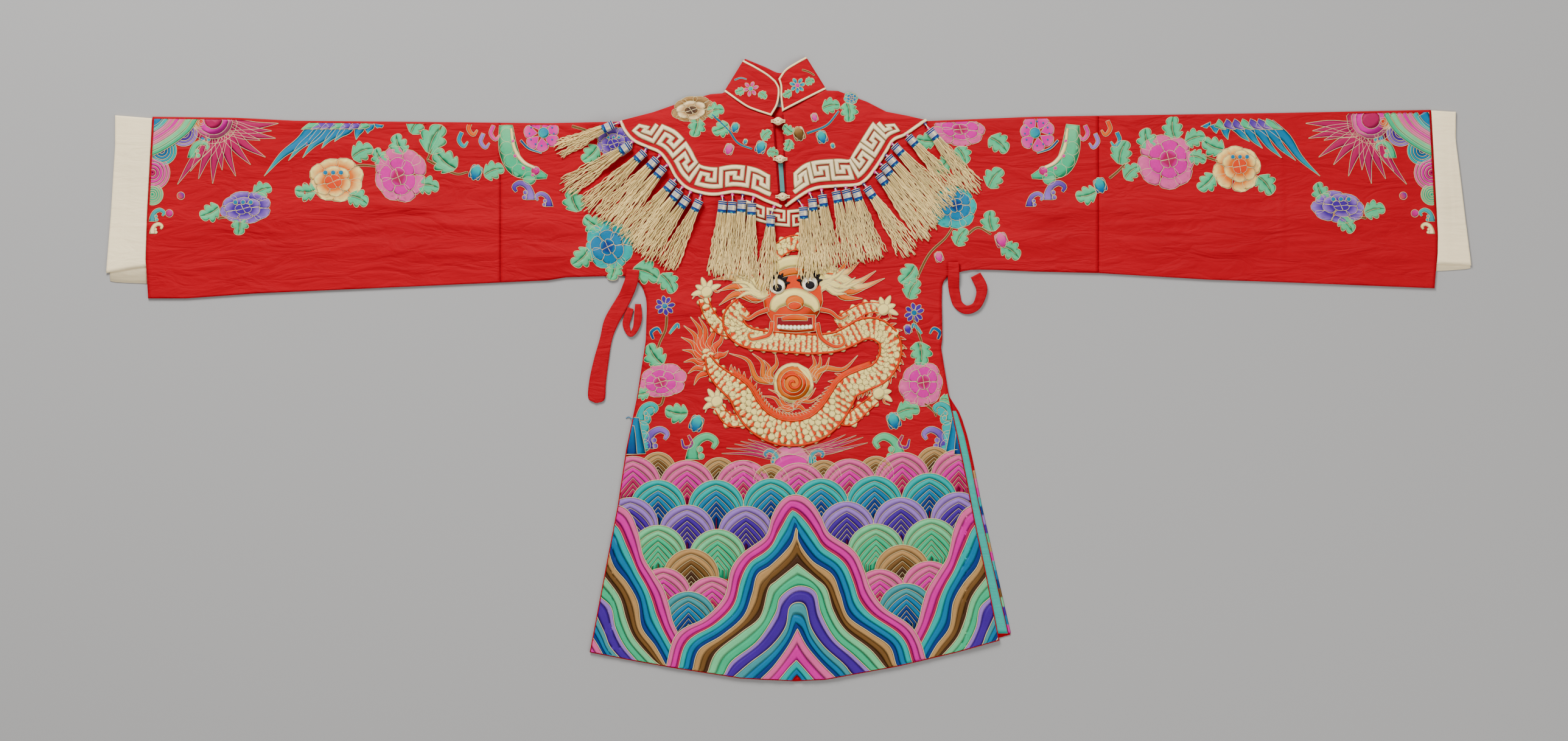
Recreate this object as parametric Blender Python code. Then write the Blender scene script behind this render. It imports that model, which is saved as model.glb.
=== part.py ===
# Ceremonial robe, laid flat and face up: silk body, sleeves, cuffs, cape, collar, ties and tassels.
# Sizes are in millimetres and become metres when a mesh is made.
# X runs from the wearer's right sleeve to the left one, Y from hem to collar, Z up from the surface.

import bpy
import bmesh
import numpy as np

MM = 0.001

# Cloth
WALL = 1.4
LAYER_GAP = 0.5
SEAM_GAP = 0.35
FOLD_BULGE = 1.6

# Overall places
SLEEVE_SEAM_LEFT = -426.0
SLEEVE_SEAM_RIGHT = 457.5
ARMPIT_LEFT = (-221.0, 127.4)
ARMPIT_RIGHT = (234.0, 135.5)
NECK_X = -14.0
NECK_DIP = 40.0
NECK_HALF = 88.0

# Body edges, columns x, y
SHOULDER_LINE = np.array([
    (-948.0, 373.0), (-820.0, 371.5), (-730.0, 367.0), (-356.0, 363.5), (-250.0, 365.5),
    (205.0, 366.5), (364.0, 373.0), (730.0, 378.5), (962.0, 383.2)])
SLEEVE_BOTTOM_LEFT = np.array([
    (-955.0, 104.3), (-889.0, 104.3), (-788.0, 111.6), (-356.0, 131.0), (-329.0, 135.5),
    (-243.0, 138.0), (-221.0, 127.4)])
SLEEVE_BOTTOM_RIGHT = np.array([
    (234.0, 135.5), (252.0, 143.6), (273.0, 147.0), (310.0, 146.3), (364.0, 144.0),
    (458.0, 141.8), (622.0, 132.0), (730.0, 128.3), (962.0, 119.0)])

# Trunk sides from armpit to hem, columns y, x
SIDE_LEFT = np.array([
    (127.4, -221.0), (120.0, -215.7), (103.0, -210.3), (88.0, -209.7), (42.0, -211.2),
    (-44.6, -224.7), (-117.5, -240.0), (-204.0, -253.0), (-281.0, -268.0), (-419.0, -294.0)])
SIDE_RIGHT_FRONT = np.array([
    (135.5, 234.0), (126.5, 227.0), (102.0, 226.2), (45.5, 227.1), (31.0, 225.3),
    (-38.3, 236.6), (-114.0, 253.2), (-161.6, 263.0), (-227.0, 275.7), (-303.0, 292.0),
    (-401.4, 311.5)])
SIDE_RIGHT_BACK = np.array([
    (135.5, 234.0), (126.5, 227.0), (102.0, 226.2), (45.5, 227.1), (31.0, 225.3),
    (-38.3, 236.6), (-65.3, 254.0), (-98.6, 264.5), (-136.4, 273.0), (-196.7, 284.7),
    (-285.0, 304.5), (-336.0, 316.2), (-391.1, 328.8)])

# Hem, columns x, y
HEM = np.array([
    (-294.0, -419.0), (-229.0, -431.6), (-169.0, -442.4), (-70.0, -457.7), (9.3, -461.8),
    (55.0, -459.5), (162.0, -439.7), (249.0, -419.0), (311.5, -401.4), (328.8, -396.5)])

# Open ends of the sleeves, columns y, x
SLEEVE_END_LEFT = np.array([
    (104.3, -946.5), (162.5, -950.0), (237.0, -947.4), (370.4, -940.2), (373.0, -940.0)])
SLEEVE_END_RIGHT = np.array([
    (119.0, 954.3), (170.0, 958.4), (198.0, 958.8), (239.0, 956.6), (383.2, 948.9)])

# Cuffs: open ends (columns y, x) and lower edges of the two layers (columns x, y)
CUFF_END_LEFT = np.array([
    (128.0, -1001.5), (139.0, -1008.8), (226.0, -1001.7), (330.0, -995.1), (374.9, -995.1)])
CUFF_END_RIGHT = np.array([
    (145.0, 1006.5), (152.0, 1008.8), (220.0, 1000.2), (273.0, 993.9), (343.4, 984.9),
    (380.3, 985.8)])
CUFF_FRONT_LOW_LEFT = np.array([(-1008.8, 139.0), (-953.0, 150.0), (-940.0, 151.5)])
CUFF_BACK_LOW_LEFT = np.array([(-1008.8, 133.7), (-988.0, 128.3), (-947.0, 126.5), (-940.0, 126.0)])
CUFF_FRONT_LOW_RIGHT = np.array([(948.0, 155.0), (974.0, 154.4), (1008.8, 152.0)])
CUFF_BACK_LOW_RIGHT = np.array([(948.0, 145.0), (986.0, 147.5), (1008.8, 151.5)])
CUFF_TOP_LEFT = np.array([(-995.0, 374.9), (-940.0, 370.5)])
CUFF_TOP_RIGHT = np.array([(948.0, 382.0), (986.0, 380.3)])

# Cape edges, columns x, y
CAPE_LOW_LEFT = np.array([
    (-250.0, 366.0), (-243.6, 351.5), (-230.0, 336.2), (-209.4, 326.3), (-191.4, 318.2),
    (-178.0, 301.0), (-167.0, 281.3), (-151.0, 266.0), (-127.5, 258.0), (-106.8, 256.1),
    (-80.7, 259.7), (-52.8, 255.2), (-34.8, 247.1), (-11.0, 238.1)])
CAPE_LOW_RIGHT = np.array([
    (-4.0, 239.0), (34.5, 263.3), (70.5, 268.2), (102.0, 270.5), (116.4, 279.5),
    (126.3, 291.2), (136.2, 305.6), (146.0, 321.3), (156.0, 337.0), (172.2, 344.3),
    (188.4, 355.5), (204.6, 366.8)])
CAPE_TOP_LEFT = np.array([
    (-250.0, 366.5), (-201.0, 379.4), (-157.0, 394.7), (-115.0, 406.4), (-95.5, 407.5)])
CAPE_TOP_RIGHT = np.array([
    (55.7, 411.5), (73.0, 410.9), (116.4, 394.7), (144.3, 380.3), (176.7, 374.0), (204.6, 367.3)])
CAPE_FRONT_EDGE_LEFT = np.array([(238.1, -11.0), (303.0, -16.8), (369.6, -21.6)])
CAPE_FRONT_EDGE_RIGHT = np.array([(239.0, -4.0), (303.0, -7.0), (375.5, -9.6)])
CAPE_BACK_NECK = 398.0

# Soft folds of the top layer, columns x, y, half length, half width, slope, height
FOLDS = np.array([
    (-810.0, 214.0, 120.0, 17.0, 0.02, 2.6),
    (-660.0, 238.0, 150.0, 20.0, -0.03, 2.2),
    (-560.0, 176.0, 130.0, 17.0, 0.04, 3.0),
    (-400.0, 214.0, 130.0, 18.0, 0.03, 3.2),
    (-330.0, 168.0, 90.0, 14.0, 0.05, 3.0),
    (-690.0, 322.0, 110.0, 16.0, 0.01, 1.8),
    (-470.0, 330.0, 120.0, 15.0, 0.02, 1.6),
    (330.0, 190.0, 90.0, 15.0, -0.05, 3.0),
    (455.0, 236.0, 140.0, 18.0, 0.03, 2.8),
    (610.0, 188.0, 140.0, 18.0, -0.02, 2.6),
    (790.0, 226.0, 130.0, 17.0, 0.02, 3.0),
    (700.0, 318.0, 130.0, 17.0, -0.01, 2.0),
    (860.0, 172.0, 80.0, 15.0, 0.03, 2.2),
    (-120.0, 92.0, 110.0, 17.0, 0.12, 2.4),
    (110.0, 84.0, 110.0, 17.0, -0.10, 2.4),
    (-60.0, 22.0, 150.0, 18.0, -0.06, 2.2),
    (90.0, -26.0, 130.0, 18.0, 0.07, 2.0),
    (-120.0, -96.0, 100.0, 19.0, 0.05, 1.8),
    (150.0, -128.0, 90.0, 19.0, -0.08, 1.6)])

# Lift of the robe where the cape's back lies under it
CAPE_LIFT = WALL + LAYER_GAP
LIFT_FULL = 45.0
LIFT_RAMP = 50.0
LIFT_TIP_SLOPE = 1.6

# Cape past the shoulder line, where it comes down to its back half
CREST = 3.0
CREST_REACH = 14.0
CREST_DROP = 1.2
CREST_SIDE_DROP = 2.4
CREST_SIDE = 78.0
CREST_BLEND = 20.0
CAPE_TIP_LEFT = -247.5
CAPE_TIP_RIGHT = 202.5
CAPE_FRONT_LEFT = -16.5
CAPE_FRONT_RIGHT = -7.0
CAPE_COLUMNS = 17
CAPE_BEND_POWER = 8
CAPE_BACK_INSET = 3.5
CAPE_BACK_NECK_HALF = 82.0
CAPE_BACK_NECK_LOW = 387.0

# Facing at the open slit
FACING_WALL = 1.0
FACING_WIDTH = 24.0
FACING_INSET = 5.0
FACING_TOP = -62.0
FACING_LIFT = FACING_WALL + SEAM_GAP
FACING_LIFT_NEAR = 70.0
FACING_LIFT_BLEND = 40.0
FACING_LIFT_TOP = -20.0
FACING_LIFT_RAMP = 30.0

# Cuff rows and the soft ridge round each cuff
CUFF_START = 940.0
CUFF_REACH = 55.0
CUFF_RIDGE = 1.6
CUFF_RIDGE_X = 967.0
CUFF_RIDGE_LEAN = 0.04
CUFF_RIDGE_HALF = 11.0
CUFF_MIDDLE_Y = 260.0

# Binding and key border
BINDING_WIDTH = 4.0
BINDING_WALL = 1.3
KEY_MARGIN = 10.0
KEY_WIDTH = 32.5
KEY_STROKE = 6.8
KEY_WALL = 1.2
KEY_UNITS = 6
KEY_SOFTEN = 17
KEY_UPRIGHT = 0.72
KEY_UPRIGHT_BLEND = 0.25
KEY_LEAST = 12.0
KEY_START_WIDTH = 17.0
KEY_FEEL = 4.0
KEY_STOP = 0.97
NECK_KEY_UNITS = 4
NECK_KEY_WIDTH = 26.0
NECK_KEY_STROKE = 4.6
NECK_KEY_HALF = 61.0
NECK_KEY_LOW = 209.5
NECK_KEY_BEND = 0.0038
# One key unit's centre line, columns along the band, across the band
KEY_UNIT = np.array([
    (-0.10, 0.11), (-0.10, 0.89), (0.675, 0.89), (0.675, 0.39), (0.415, 0.39),
    (0.415, 0.61), (0.14, 0.61), (0.14, 0.11)])

# Collar
COLLAR_WALL = 2.0
COLLAR_SIDE_RISE = 2.4
COLLAR_FRONT_RISE = 3.0
COLLAR_BLEND = 26.0
COLLAR_BINDING = 3.0
NECK_SEAM = 0.7
NECK_CORNER_SLOPE = 0.35
# Collar edge curves, columns x, y
COLLAR_LEFT_BOTTOM = [(-95.4, 410.0), (-65.4, 388.8), (-49.2, 381.5), (-25.4, 373.6)]
COLLAR_LEFT_TOP = [(-66.7, 456.8), (-48.5, 447.0), (-30.6, 436.0), (-18.8, 426.0)]
COLLAR_LEFT_FRONT = [(-25.4, 373.6), (-16.6, 389.0), (-13.4, 403.5), (-13.6, 416.0), (-18.8, 426.0)]
COLLAR_RIGHT_BOTTOM = [(-9.6, 380.2), (20.0, 395.5), (55.6, 413.6)]
COLLAR_RIGHT_TOP = [(-15.6, 428.6), (-5.3, 442.8), (11.0, 453.5), (25.5, 461.8)]
COLLAR_RIGHT_FRONT = [(-9.6, 380.2), (-11.4, 392.0), (-12.6, 404.0), (-12.6, 418.0), (-15.6, 428.6)]
COLLAR_BACK_TOP = [(-64.4, 458.6), (-36.0, 447.0), (-13.0, 437.5), (4.0, 446.0), (22.5, 459.6)]
COLLAR_BACK_LOW = [(-92.0, 409.0), (-14.0, 399.8), (53.0, 412.0)]

# Ball buttons and placket
BUTTON_RADIUS = 5.2
BUTTON_LOOP = 2.0
BUTTON_REACH = 11.0
BUTTON_PLACES = np.array([(-15.6, 366.0), (-12.5, 310.0), (-9.0, 254.5)])
PLACKET_WIDTH = 6.8
PLACKET_TOP = 304.0
PLACKET_LOW = 261.0
PLACKET_WALL = 1.2

# Tassels: head and fringe
HEAD_WIDTH = 12.8
HEAD_HEIGHT = 10.6
HEAD_LENGTH = 17.5
HEAD_RIM = 1.6
STEM_HALF = 1.8
STEM_CLEAR = 3.2
STRANDS = 9
STRAND_GAP = 1.0
STRAND_CURVE = 0.9
STRAND_STEP = 2.2
# Strand sections, columns share of the length, half width in lanes, half height, rise a layer
STRAND_RINGS = ((0.5, 0.26, 0.55, 1.75), (1.0, 0.36, 0.6, 0.12))
# Columns head x, head y, fringe end x, fringe end y, fringe end width
TASSELS = np.array([
    (-267.0, 357.0, -344.0, 322.0, 17.0),
    (-241.8, 326.0, -334.0, 263.5, 20.0),
    (-219.3, 314.0, -302.0, 236.0, 20.0),
    (-201.0, 303.6, -279.5, 219.0, 19.0),
    (-190.0, 290.6, -260.0, 206.5, 17.0),
    (-175.6, 270.0, -243.6, 188.6, 18.0),
    (-166.0, 256.8, -228.0, 176.0, 16.0),
    (-154.0, 246.0, -212.6, 162.0, 17.0),
    (-135.6, 241.0, -182.0, 147.0, 20.0),
    (-98.0, 239.0, -109.0, 136.0, 13.5),
    (-83.6, 238.0, -93.0, 133.0, 13.5),
    (-69.4, 240.0, -76.5, 134.0, 14.0),
    (-54.6, 235.6, -59.0, 131.0, 15.0),
    (-26.7, 218.3, -34.0, 114.0, 22.0),
    (21.9, 230.0, 27.0, 130.0, 15.0),
    (35.6, 242.4, 47.0, 139.0, 15.5),
    (50.8, 248.2, 66.0, 146.0, 15.5),
    (71.4, 253.4, 92.0, 152.0, 17.0),
    (86.4, 256.0, 112.5, 157.0, 15.5),
    (101.2, 257.0, 133.0, 161.0, 16.0),
    (120.2, 260.2, 182.0, 169.0, 20.0),
    (138.2, 279.6, 204.7, 191.0, 15.5),
    (145.0, 293.5, 217.5, 208.0, 14.0),
    (152.6, 306.8, 228.5, 223.0, 13.5),
    (161.6, 323.5, 240.0, 240.0, 16.0),
    (182.4, 336.4, 252.5, 258.0, 17.0),
    (213.0, 346.2, 279.5, 262.0, 17.0)])

# Ties: plan paths, columns x, y, width, rise above the surface under it
TIE_LEFT = np.array([
    (-230.0, 147.0, 19.5, 4.6), (-232.0, 132.0, 19.5, 4.4), (-235.5, 121.0, 20.0, 3.9),
    (-241.0, 108.0, 20.0, 1.0), (-247.0, 97.0, 21.0, 0.4), (-262.0, 70.0, 21.5, 0.4), (-270.0, 44.0, 18.0, 0.4),
    (-277.0, 12.0, 22.0, 0.4), (-282.5, -20.0, 25.0, 0.4), (-284.0, -44.0, 24.0, 0.4),
    (-284.5, -50.0, 3.0, 0.4)])
TIE_LEFT_LOOP = np.array([
    (-233.3, 90.0, 9.0, 0.3), (-237.8, 77.0, 11.5, 0.3), (-240.0, 64.0, 10.0, 0.3),
    (-233.8, 51.0, 7.5, 1.0), (-226.0, 60.0, 9.0, 2.0), (-222.5, 76.0, 12.0, 2.1),
    (-222.5, 96.0, 9.0, 2.2)])
TIE_RIGHT = np.array([
    (243.5, 158.0, 17.0, 4.6), (243.5, 144.0, 17.0, 4.5), (243.5, 133.0, 17.0, 3.9),
    (244.0, 120.0, 16.0, 1.0), (246.0, 109.0, 15.5, 0.4), (250.0, 96.0, 14.0, 0.4), (262.0, 87.5, 13.0, 0.5),
    (276.5, 92.5, 13.0, 1.6), (284.0, 108.0, 15.0, 2.0), (284.5, 122.0, 17.0, 2.0),
    (276.0, 139.0, 16.0, 2.0)])

# Colours, linear rgb
RED = (0.56, 0.0, 0.012, 1.0)
CREAM = (0.72, 0.62, 0.44, 1.0)
COTTON = (0.84, 0.75, 0.6, 1.0)
TURQUOISE = (0.15, 0.58, 0.5, 1.0)
GREY_TEAL = (0.16, 0.32, 0.31, 1.0)
THREAD = (0.8, 0.7, 0.54, 1.0)


# Helpers

def smooth(value):
    # Smooth step from 0 to 1
    t = np.clip(value, 0.0, 1.0)
    return t * t * (3.0 - 2.0 * t)


def read_edge(edge, key):
    # The second column of an edge table at a value of its first
    order = np.argsort(edge[:, 0])
    return np.interp(key, edge[order, 0], edge[order, 1])


def even_curve(points, count):
    # Catmull-Rom curve through the points, read at even steps of its length
    pts = np.asarray(points, dtype=float)
    ends = np.vstack([2 * pts[0] - pts[1], pts, 2 * pts[-1] - pts[-2]])
    t = np.linspace(0.0, 1.0, 9)[:-1, None]
    runs = []
    for a, b, c, d in zip(ends[:-3], ends[1:-2], ends[2:-1], ends[3:]):
        runs.append(0.5 * (2 * b + (c - a) * t + (2 * a - 5 * b + 4 * c - d) * t ** 2
                           + (3 * b - a - 3 * c + d) * t ** 3))
    fine = np.vstack(runs + [pts[-1:]])
    steps = np.hypot(*np.diff(fine[:, :2], axis=0).T)
    length = np.concatenate([[0.0], np.cumsum(steps)])
    at = np.linspace(0.0, length[-1], count)
    return np.column_stack([np.interp(at, length, fine[:, k]) for k in range(fine.shape[1])])


def across(path):
    # Unit vectors to the left of a plan path
    run = np.gradient(path[:, :2], axis=0)
    run = run / np.linalg.norm(run, axis=1)[:, None]
    return np.column_stack([-run[:, 1], run[:, 0]])


def cape_top(x):
    # The cape's upper edge: the fold over the shoulder, then the seam under the collar
    left_neck = np.array(COLLAR_LEFT_BOTTOM)
    right_neck = np.array(COLLAR_RIGHT_BOTTOM)
    left_seam = read_edge(even_curve(left_neck, 40), x) - NECK_SEAM
    left_seam = left_seam - NECK_CORNER_SLOPE * np.maximum(x - left_neck[-1, 0], 0.0)
    right_seam = read_edge(even_curve(right_neck, 40), x) - NECK_SEAM
    left = np.where(x < left_neck[0, 0], read_edge(CAPE_TOP_LEFT, x), left_seam)
    right = np.where(x > right_neck[-1, 0], read_edge(CAPE_TOP_RIGHT, x), right_seam)
    return np.where(x < NECK_X, left, right)


# Heights of the layers

def cape_lift(x, y):
    low = np.where(x < NECK_X, read_edge(CAPE_LOW_LEFT, x), read_edge(CAPE_LOW_RIGHT, x))
    low = low + np.maximum(CAPE_LOW_LEFT[0, 0] - x, 0.0) * LIFT_TIP_SLOPE
    low = low + np.maximum(x - CAPE_LOW_RIGHT[-1, 0], 0.0) * LIFT_TIP_SLOPE
    return CAPE_LIFT * smooth((y - low + LIFT_FULL + LIFT_RAMP) / LIFT_RAMP)


def fold_height(x, y):
    total = np.zeros(np.broadcast(x, y).shape)
    for fx, fy, half_long, half_wide, slope, height in FOLDS:
        along = (x - fx) / half_long
        off = (y - fy - slope * (x - fx)) / half_wide
        total = total + height * np.exp(-along ** 2 - off ** 2)
    return total


def facing_lift(x, y):
    edge = read_edge(SIDE_RIGHT_FRONT, y)
    near = smooth((x - edge + FACING_LIFT_NEAR) / FACING_LIFT_BLEND)
    return FACING_LIFT * near * smooth((FACING_LIFT_TOP - y) / FACING_LIFT_RAMP)


def back_low(x, y):
    return cape_lift(x, y)


def back_high(x, y):
    return back_low(x, y) + WALL


def front_low(x, y):
    return back_high(x, y) + LAYER_GAP + fold_height(x, y) + facing_lift(x, y)


def front_high(x, y):
    return front_low(x, y) + WALL


def cape_low(x, y):
    # The cape lies on the robe, and past the shoulder line it comes down to its own back
    shoulder = read_edge(SHOULDER_LINE, x) + CREST
    reach = np.maximum(cape_top(x) - shoulder, CREST_REACH)
    beside = smooth((np.abs(x - NECK_X) - CREST_SIDE) / CREST_BLEND)
    drop = (CREST_DROP + CREST_SIDE_DROP * beside) * smooth((y - shoulder) / reach)
    return CAPE_LIFT + 2 * WALL + 2 * LAYER_GAP - drop


def cape_high(x, y):
    return cape_low(x, y) + WALL


# Mesh makers

def add_object(name, vertices, faces, colour, roughness=0.6):
    mesh = bpy.data.meshes.new(name)
    mesh.from_pydata([tuple(p) for p in np.asarray(vertices, dtype=float) * MM], [], faces)
    mesh.validate()
    piece = bpy.data.objects.new(name, mesh)
    material = bpy.data.materials.new(name)
    material.use_nodes = True
    shader = material.node_tree.nodes["Principled BSDF"]
    shader.inputs["Base Color"].default_value = colour
    shader.inputs["Roughness"].default_value = roughness
    shader.inputs["Metallic"].default_value = 0.0
    mesh.materials.append(material)
    robe.objects.link(piece)
    return piece


def wall(name, patches, low, high, colour):
    # A cloth wall between two height functions, over patches of plan points that share edges
    sheet = bmesh.new()
    for patch in patches:
        rows = [[sheet.verts.new((p[0], p[1], 0.0)) for p in row] for row in patch]
        for below, above in zip(rows[:-1], rows[1:]):
            for k in range(len(below) - 1):
                sheet.faces.new((below[k], below[k + 1], above[k + 1]))
                sheet.faces.new((below[k], above[k + 1], above[k]))
    bmesh.ops.remove_doubles(sheet, verts=sheet.verts, dist=0.02)
    for face in sheet.faces:
        face.normal_update()
        if face.normal.z < 0.0:
            face.normal_flip()
    sheet.verts.index_update()
    plan = np.array([(v.co.x, v.co.y) for v in sheet.verts])
    count = len(plan)
    x, y = plan[:, 0], plan[:, 1]
    upper = np.column_stack([x, y, high(x, y)])
    under = np.column_stack([x, y, low(x, y)])
    faces = []
    for face in sheet.faces:
        ring = [v.index for v in face.verts]
        faces.append(ring)
        faces.append([k + count for k in reversed(ring)])
    for edge in sheet.edges:
        if edge.is_boundary:
            loop = edge.link_loops[0]
            a = loop.vert.index
            b = loop.link_loop_next.vert.index
            faces.append([a + count, b + count, b, a])
    sheet.free()
    return add_object(name, np.vstack([upper, under]), faces, colour)


def shell(name, outer, inner, colour, roughness=0.6):
    # A closed shell between two matching grids of points, outer facing out
    rows, cols = outer.shape[:2]
    index = np.arange(rows * cols).reshape(rows, cols)
    shift = rows * cols
    faces = []
    for j in range(rows - 1):
        for i in range(cols - 1):
            a, b, c, d = (int(index[place]) for place in (
                (j, i), (j, i + 1), (j + 1, i + 1), (j + 1, i)))
            faces += [[a, b, c], [a, c, d]]
            faces += [[c + shift, b + shift, a + shift], [d + shift, c + shift, a + shift]]
    rim = list(index[0, :]) + list(index[1:, -1]) + list(index[-1, -2::-1]) + list(index[-2:0:-1, 0])
    for a, b in zip(rim, rim[1:] + rim[:1]):
        faces.append([int(b), int(a), int(a) + shift, int(b) + shift])
    points = np.vstack([outer.reshape(-1, 3), inner.reshape(-1, 3)])
    piece = add_object(name, points, faces, colour, roughness)
    turn_outward(piece)
    return piece


def turn_outward(piece):
    tidy = bmesh.new()
    tidy.from_mesh(piece.data)
    bmesh.ops.recalc_face_normals(tidy, faces=tidy.faces)
    tidy.to_mesh(piece.data)
    tidy.free()


def ribbon(name, path, width, thick, low, colour, side=0.0):
    # A flat strip along a plan path with mitred corners, lying on a height function
    run = np.diff(path[:, :2], axis=0)
    run = run / np.linalg.norm(run, axis=1)[:, None]
    left = np.column_stack([-run[:, 1], run[:, 0]])
    before = np.vstack([left[:1], left])
    after = np.vstack([left, left[-1:]])
    mitre = before + after
    mitre = mitre / np.maximum(np.sum(mitre * before, axis=1), 0.45)[:, None]
    half = (np.zeros(len(path)) + width)[:, None] * 0.5
    centre = path[:, :2] + mitre * side
    plan = np.stack([centre + mitre * half, centre - mitre * half], axis=1)
    base = low(plan[..., 0], plan[..., 1])
    upper = np.dstack([plan, base + thick])
    under = np.dstack([plan, base])
    return shell(name, upper, under, colour)


# Plan of the body

def body_patches(side_right, hem_up, neck_dip, rows):
    arm_left = np.array([SLEEVE_SEAM_LEFT, -380.0, -340.0, -302.0, -268.0, ARMPIT_LEFT[0]])
    arm_right = np.array([ARMPIT_RIGHT[0], 262.0, 300.0, 350.0, 404.0, SLEEVE_SEAM_RIGHT])
    share = np.linspace(0.0, 1.0, 11)
    trunk = ARMPIT_LEFT[0] + (ARMPIT_RIGHT[0] - ARMPIT_LEFT[0]) * share
    trunk_low = ARMPIT_LEFT[1] + (ARMPIT_RIGHT[1] - ARMPIT_LEFT[1]) * share
    columns = np.concatenate([arm_left[:-1], trunk, arm_right[1:]])
    low = np.concatenate([
        read_edge(SLEEVE_BOTTOM_LEFT, arm_left[:-1]), trunk_low,
        read_edge(SLEEVE_BOTTOM_RIGHT, arm_right[1:])])
    top = read_edge(SHOULDER_LINE, columns)
    dip = neck_dip * smooth((NECK_HALF - np.abs(columns - NECK_X)) / 60.0)
    rise = np.linspace(0.0, 1.0, 10)[:, None]
    upper_y = low + (top - low) * rise - dip * smooth((rise - 0.6) / 0.4)
    upper = np.dstack([columns + 0.0 * rise, upper_y])
    fall = np.concatenate([[0.0, 0.018, 0.05], np.linspace(0.1, 1.0, rows)])[:, None]
    left_y = ARMPIT_LEFT[1] + (SIDE_LEFT[-1, 0] + hem_up - ARMPIT_LEFT[1]) * fall
    right_y = ARMPIT_RIGHT[1] + (side_right[-1, 0] + hem_up - ARMPIT_RIGHT[1]) * fall
    left_x = read_edge(SIDE_LEFT, left_y)
    right_x = read_edge(side_right, right_y)
    x = left_x + (right_x - left_x) * share
    y = left_y + (right_y - left_y) * share
    hem = read_edge(HEM, x[-1]) + hem_up
    y = y + (hem - y[-1]) * fall ** 1.5
    lower = np.dstack([x, y])[::-1]
    return [upper, lower]


def make_body():
    wall("body_back", body_patches(SIDE_RIGHT_BACK, 4.0, 8.0, 7), back_low, back_high, RED)
    wall("body_front", body_patches(SIDE_RIGHT_FRONT, 0.0, NECK_DIP, 18), front_low, front_high, RED)


# Sleeves and cuffs, each one cloth folded at its top

def folded_tube(name, columns, top, low_front, low_back, shift, rows, lift, colour):
    # Profile round the fold: back layer up, fold, front layer down, carried along the sleeve
    up = np.array([0.0, 1.0])[:, None]
    down = np.linspace(1.0, 0.0, rows)[:, None]
    back_y = low_back + (top - low_back) * up
    front_y = low_front + (top - low_front) * down
    y = np.vstack([back_y, top[None, :], front_y])
    x = columns + 0.0 * y
    x = x + shift(x, y)
    rise = lift(x[3:], y[3:]) * np.sin(np.pi * np.clip(down, 0.0, 1.0)) ** 0.5
    bottom = np.zeros_like(back_y)
    middle = np.full_like(top, WALL + LAYER_GAP * 0.5)[None, :]
    outer_z = np.vstack([bottom, middle, bottom[:1] + 2 * WALL + LAYER_GAP + rise])
    inner_z = np.vstack([bottom + WALL, middle, bottom[:1] + WALL + LAYER_GAP + rise])
    outer_y = y.copy()
    inner_y = y.copy()
    outer_y[1:4] -= FOLD_BULGE * 0.75
    outer_y[2] += FOLD_BULGE * 0.75
    inner_y[1:4] -= FOLD_BULGE
    outer = np.dstack([x, outer_y, outer_z]).transpose(1, 0, 2)
    inner = np.dstack([x, inner_y, inner_z]).transpose(1, 0, 2)
    return shell(name, outer, inner, colour)


def end_shift(columns, seam, end_edge):
    # Slides the points near the open end so that the last ring lies on the end's edge
    last = columns[0] if abs(columns[0]) > abs(columns[-1]) else columns[-1]

    def shift(x, y):
        share = np.clip((x - seam) / (last - seam), 0.0, 1.0)
        return (read_edge(end_edge, y) - last) * share ** 3

    return shift


def make_sleeves():
    left = np.linspace(-944.0, SLEEVE_SEAM_LEFT - SEAM_GAP, 13)
    right = np.linspace(SLEEVE_SEAM_RIGHT + SEAM_GAP, 954.0, 13)
    for name, columns, low, end in (
            ("sleeve_left", left, SLEEVE_BOTTOM_LEFT, SLEEVE_END_LEFT),
            ("sleeve_right", right, SLEEVE_BOTTOM_RIGHT, SLEEVE_END_RIGHT)):
        edge = read_edge(low, columns)
        seam = columns[-1] if columns[-1] < 0 else columns[0]
        folded_tube(name, columns, read_edge(SHOULDER_LINE, columns), edge, edge,
                    end_shift(columns, seam, end), 15, fold_height, RED)


def make_cuffs():
    left = np.linspace(0.0, 1.0, 5)
    for name, top, front, back, inner_end, outer_end, order in (
            ("cuff_left", CUFF_TOP_LEFT, CUFF_FRONT_LOW_LEFT, CUFF_BACK_LOW_LEFT,
             SLEEVE_END_LEFT, CUFF_END_LEFT, -1),
            ("cuff_right", CUFF_TOP_RIGHT, CUFF_FRONT_LOW_RIGHT, CUFF_BACK_LOW_RIGHT,
             SLEEVE_END_RIGHT, CUFF_END_RIGHT, 1)):
        nominal = (CUFF_START + left * CUFF_REACH) * order
        share = left[None, :]

        def shift(x, y, inner_end=inner_end, outer_end=outer_end, share=share, order=order):
            near = read_edge(inner_end, y) + 2 * SEAM_GAP * order
            far = read_edge(outer_end, y)
            return near + (far - near) * share - x

        def soft(x, y):
            off = np.abs(x) - CUFF_RIDGE_X + (y - CUFF_MIDDLE_Y) * CUFF_RIDGE_LEAN
            return CUFF_RIDGE * np.exp(-(off / CUFF_RIDGE_HALF) ** 2)

        folded_tube(name, nominal, read_edge(top, nominal), read_edge(front, nominal),
                    read_edge(back, nominal), shift, 9, soft, COTTON)


# Facing at the slit

def make_facing():
    y = np.linspace(FACING_TOP, SIDE_RIGHT_BACK[-1, 0] + 8.0, 12)
    outer_x = read_edge(SIDE_RIGHT_BACK, y) - FACING_INSET
    path = np.column_stack([outer_x, y])
    ribbon("slit_facing", path, FACING_WIDTH, FACING_WALL,
           lambda px, py: back_high(px, py) + SEAM_GAP, TURQUOISE, side=-FACING_WIDTH * 0.5)


# Cape

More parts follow.
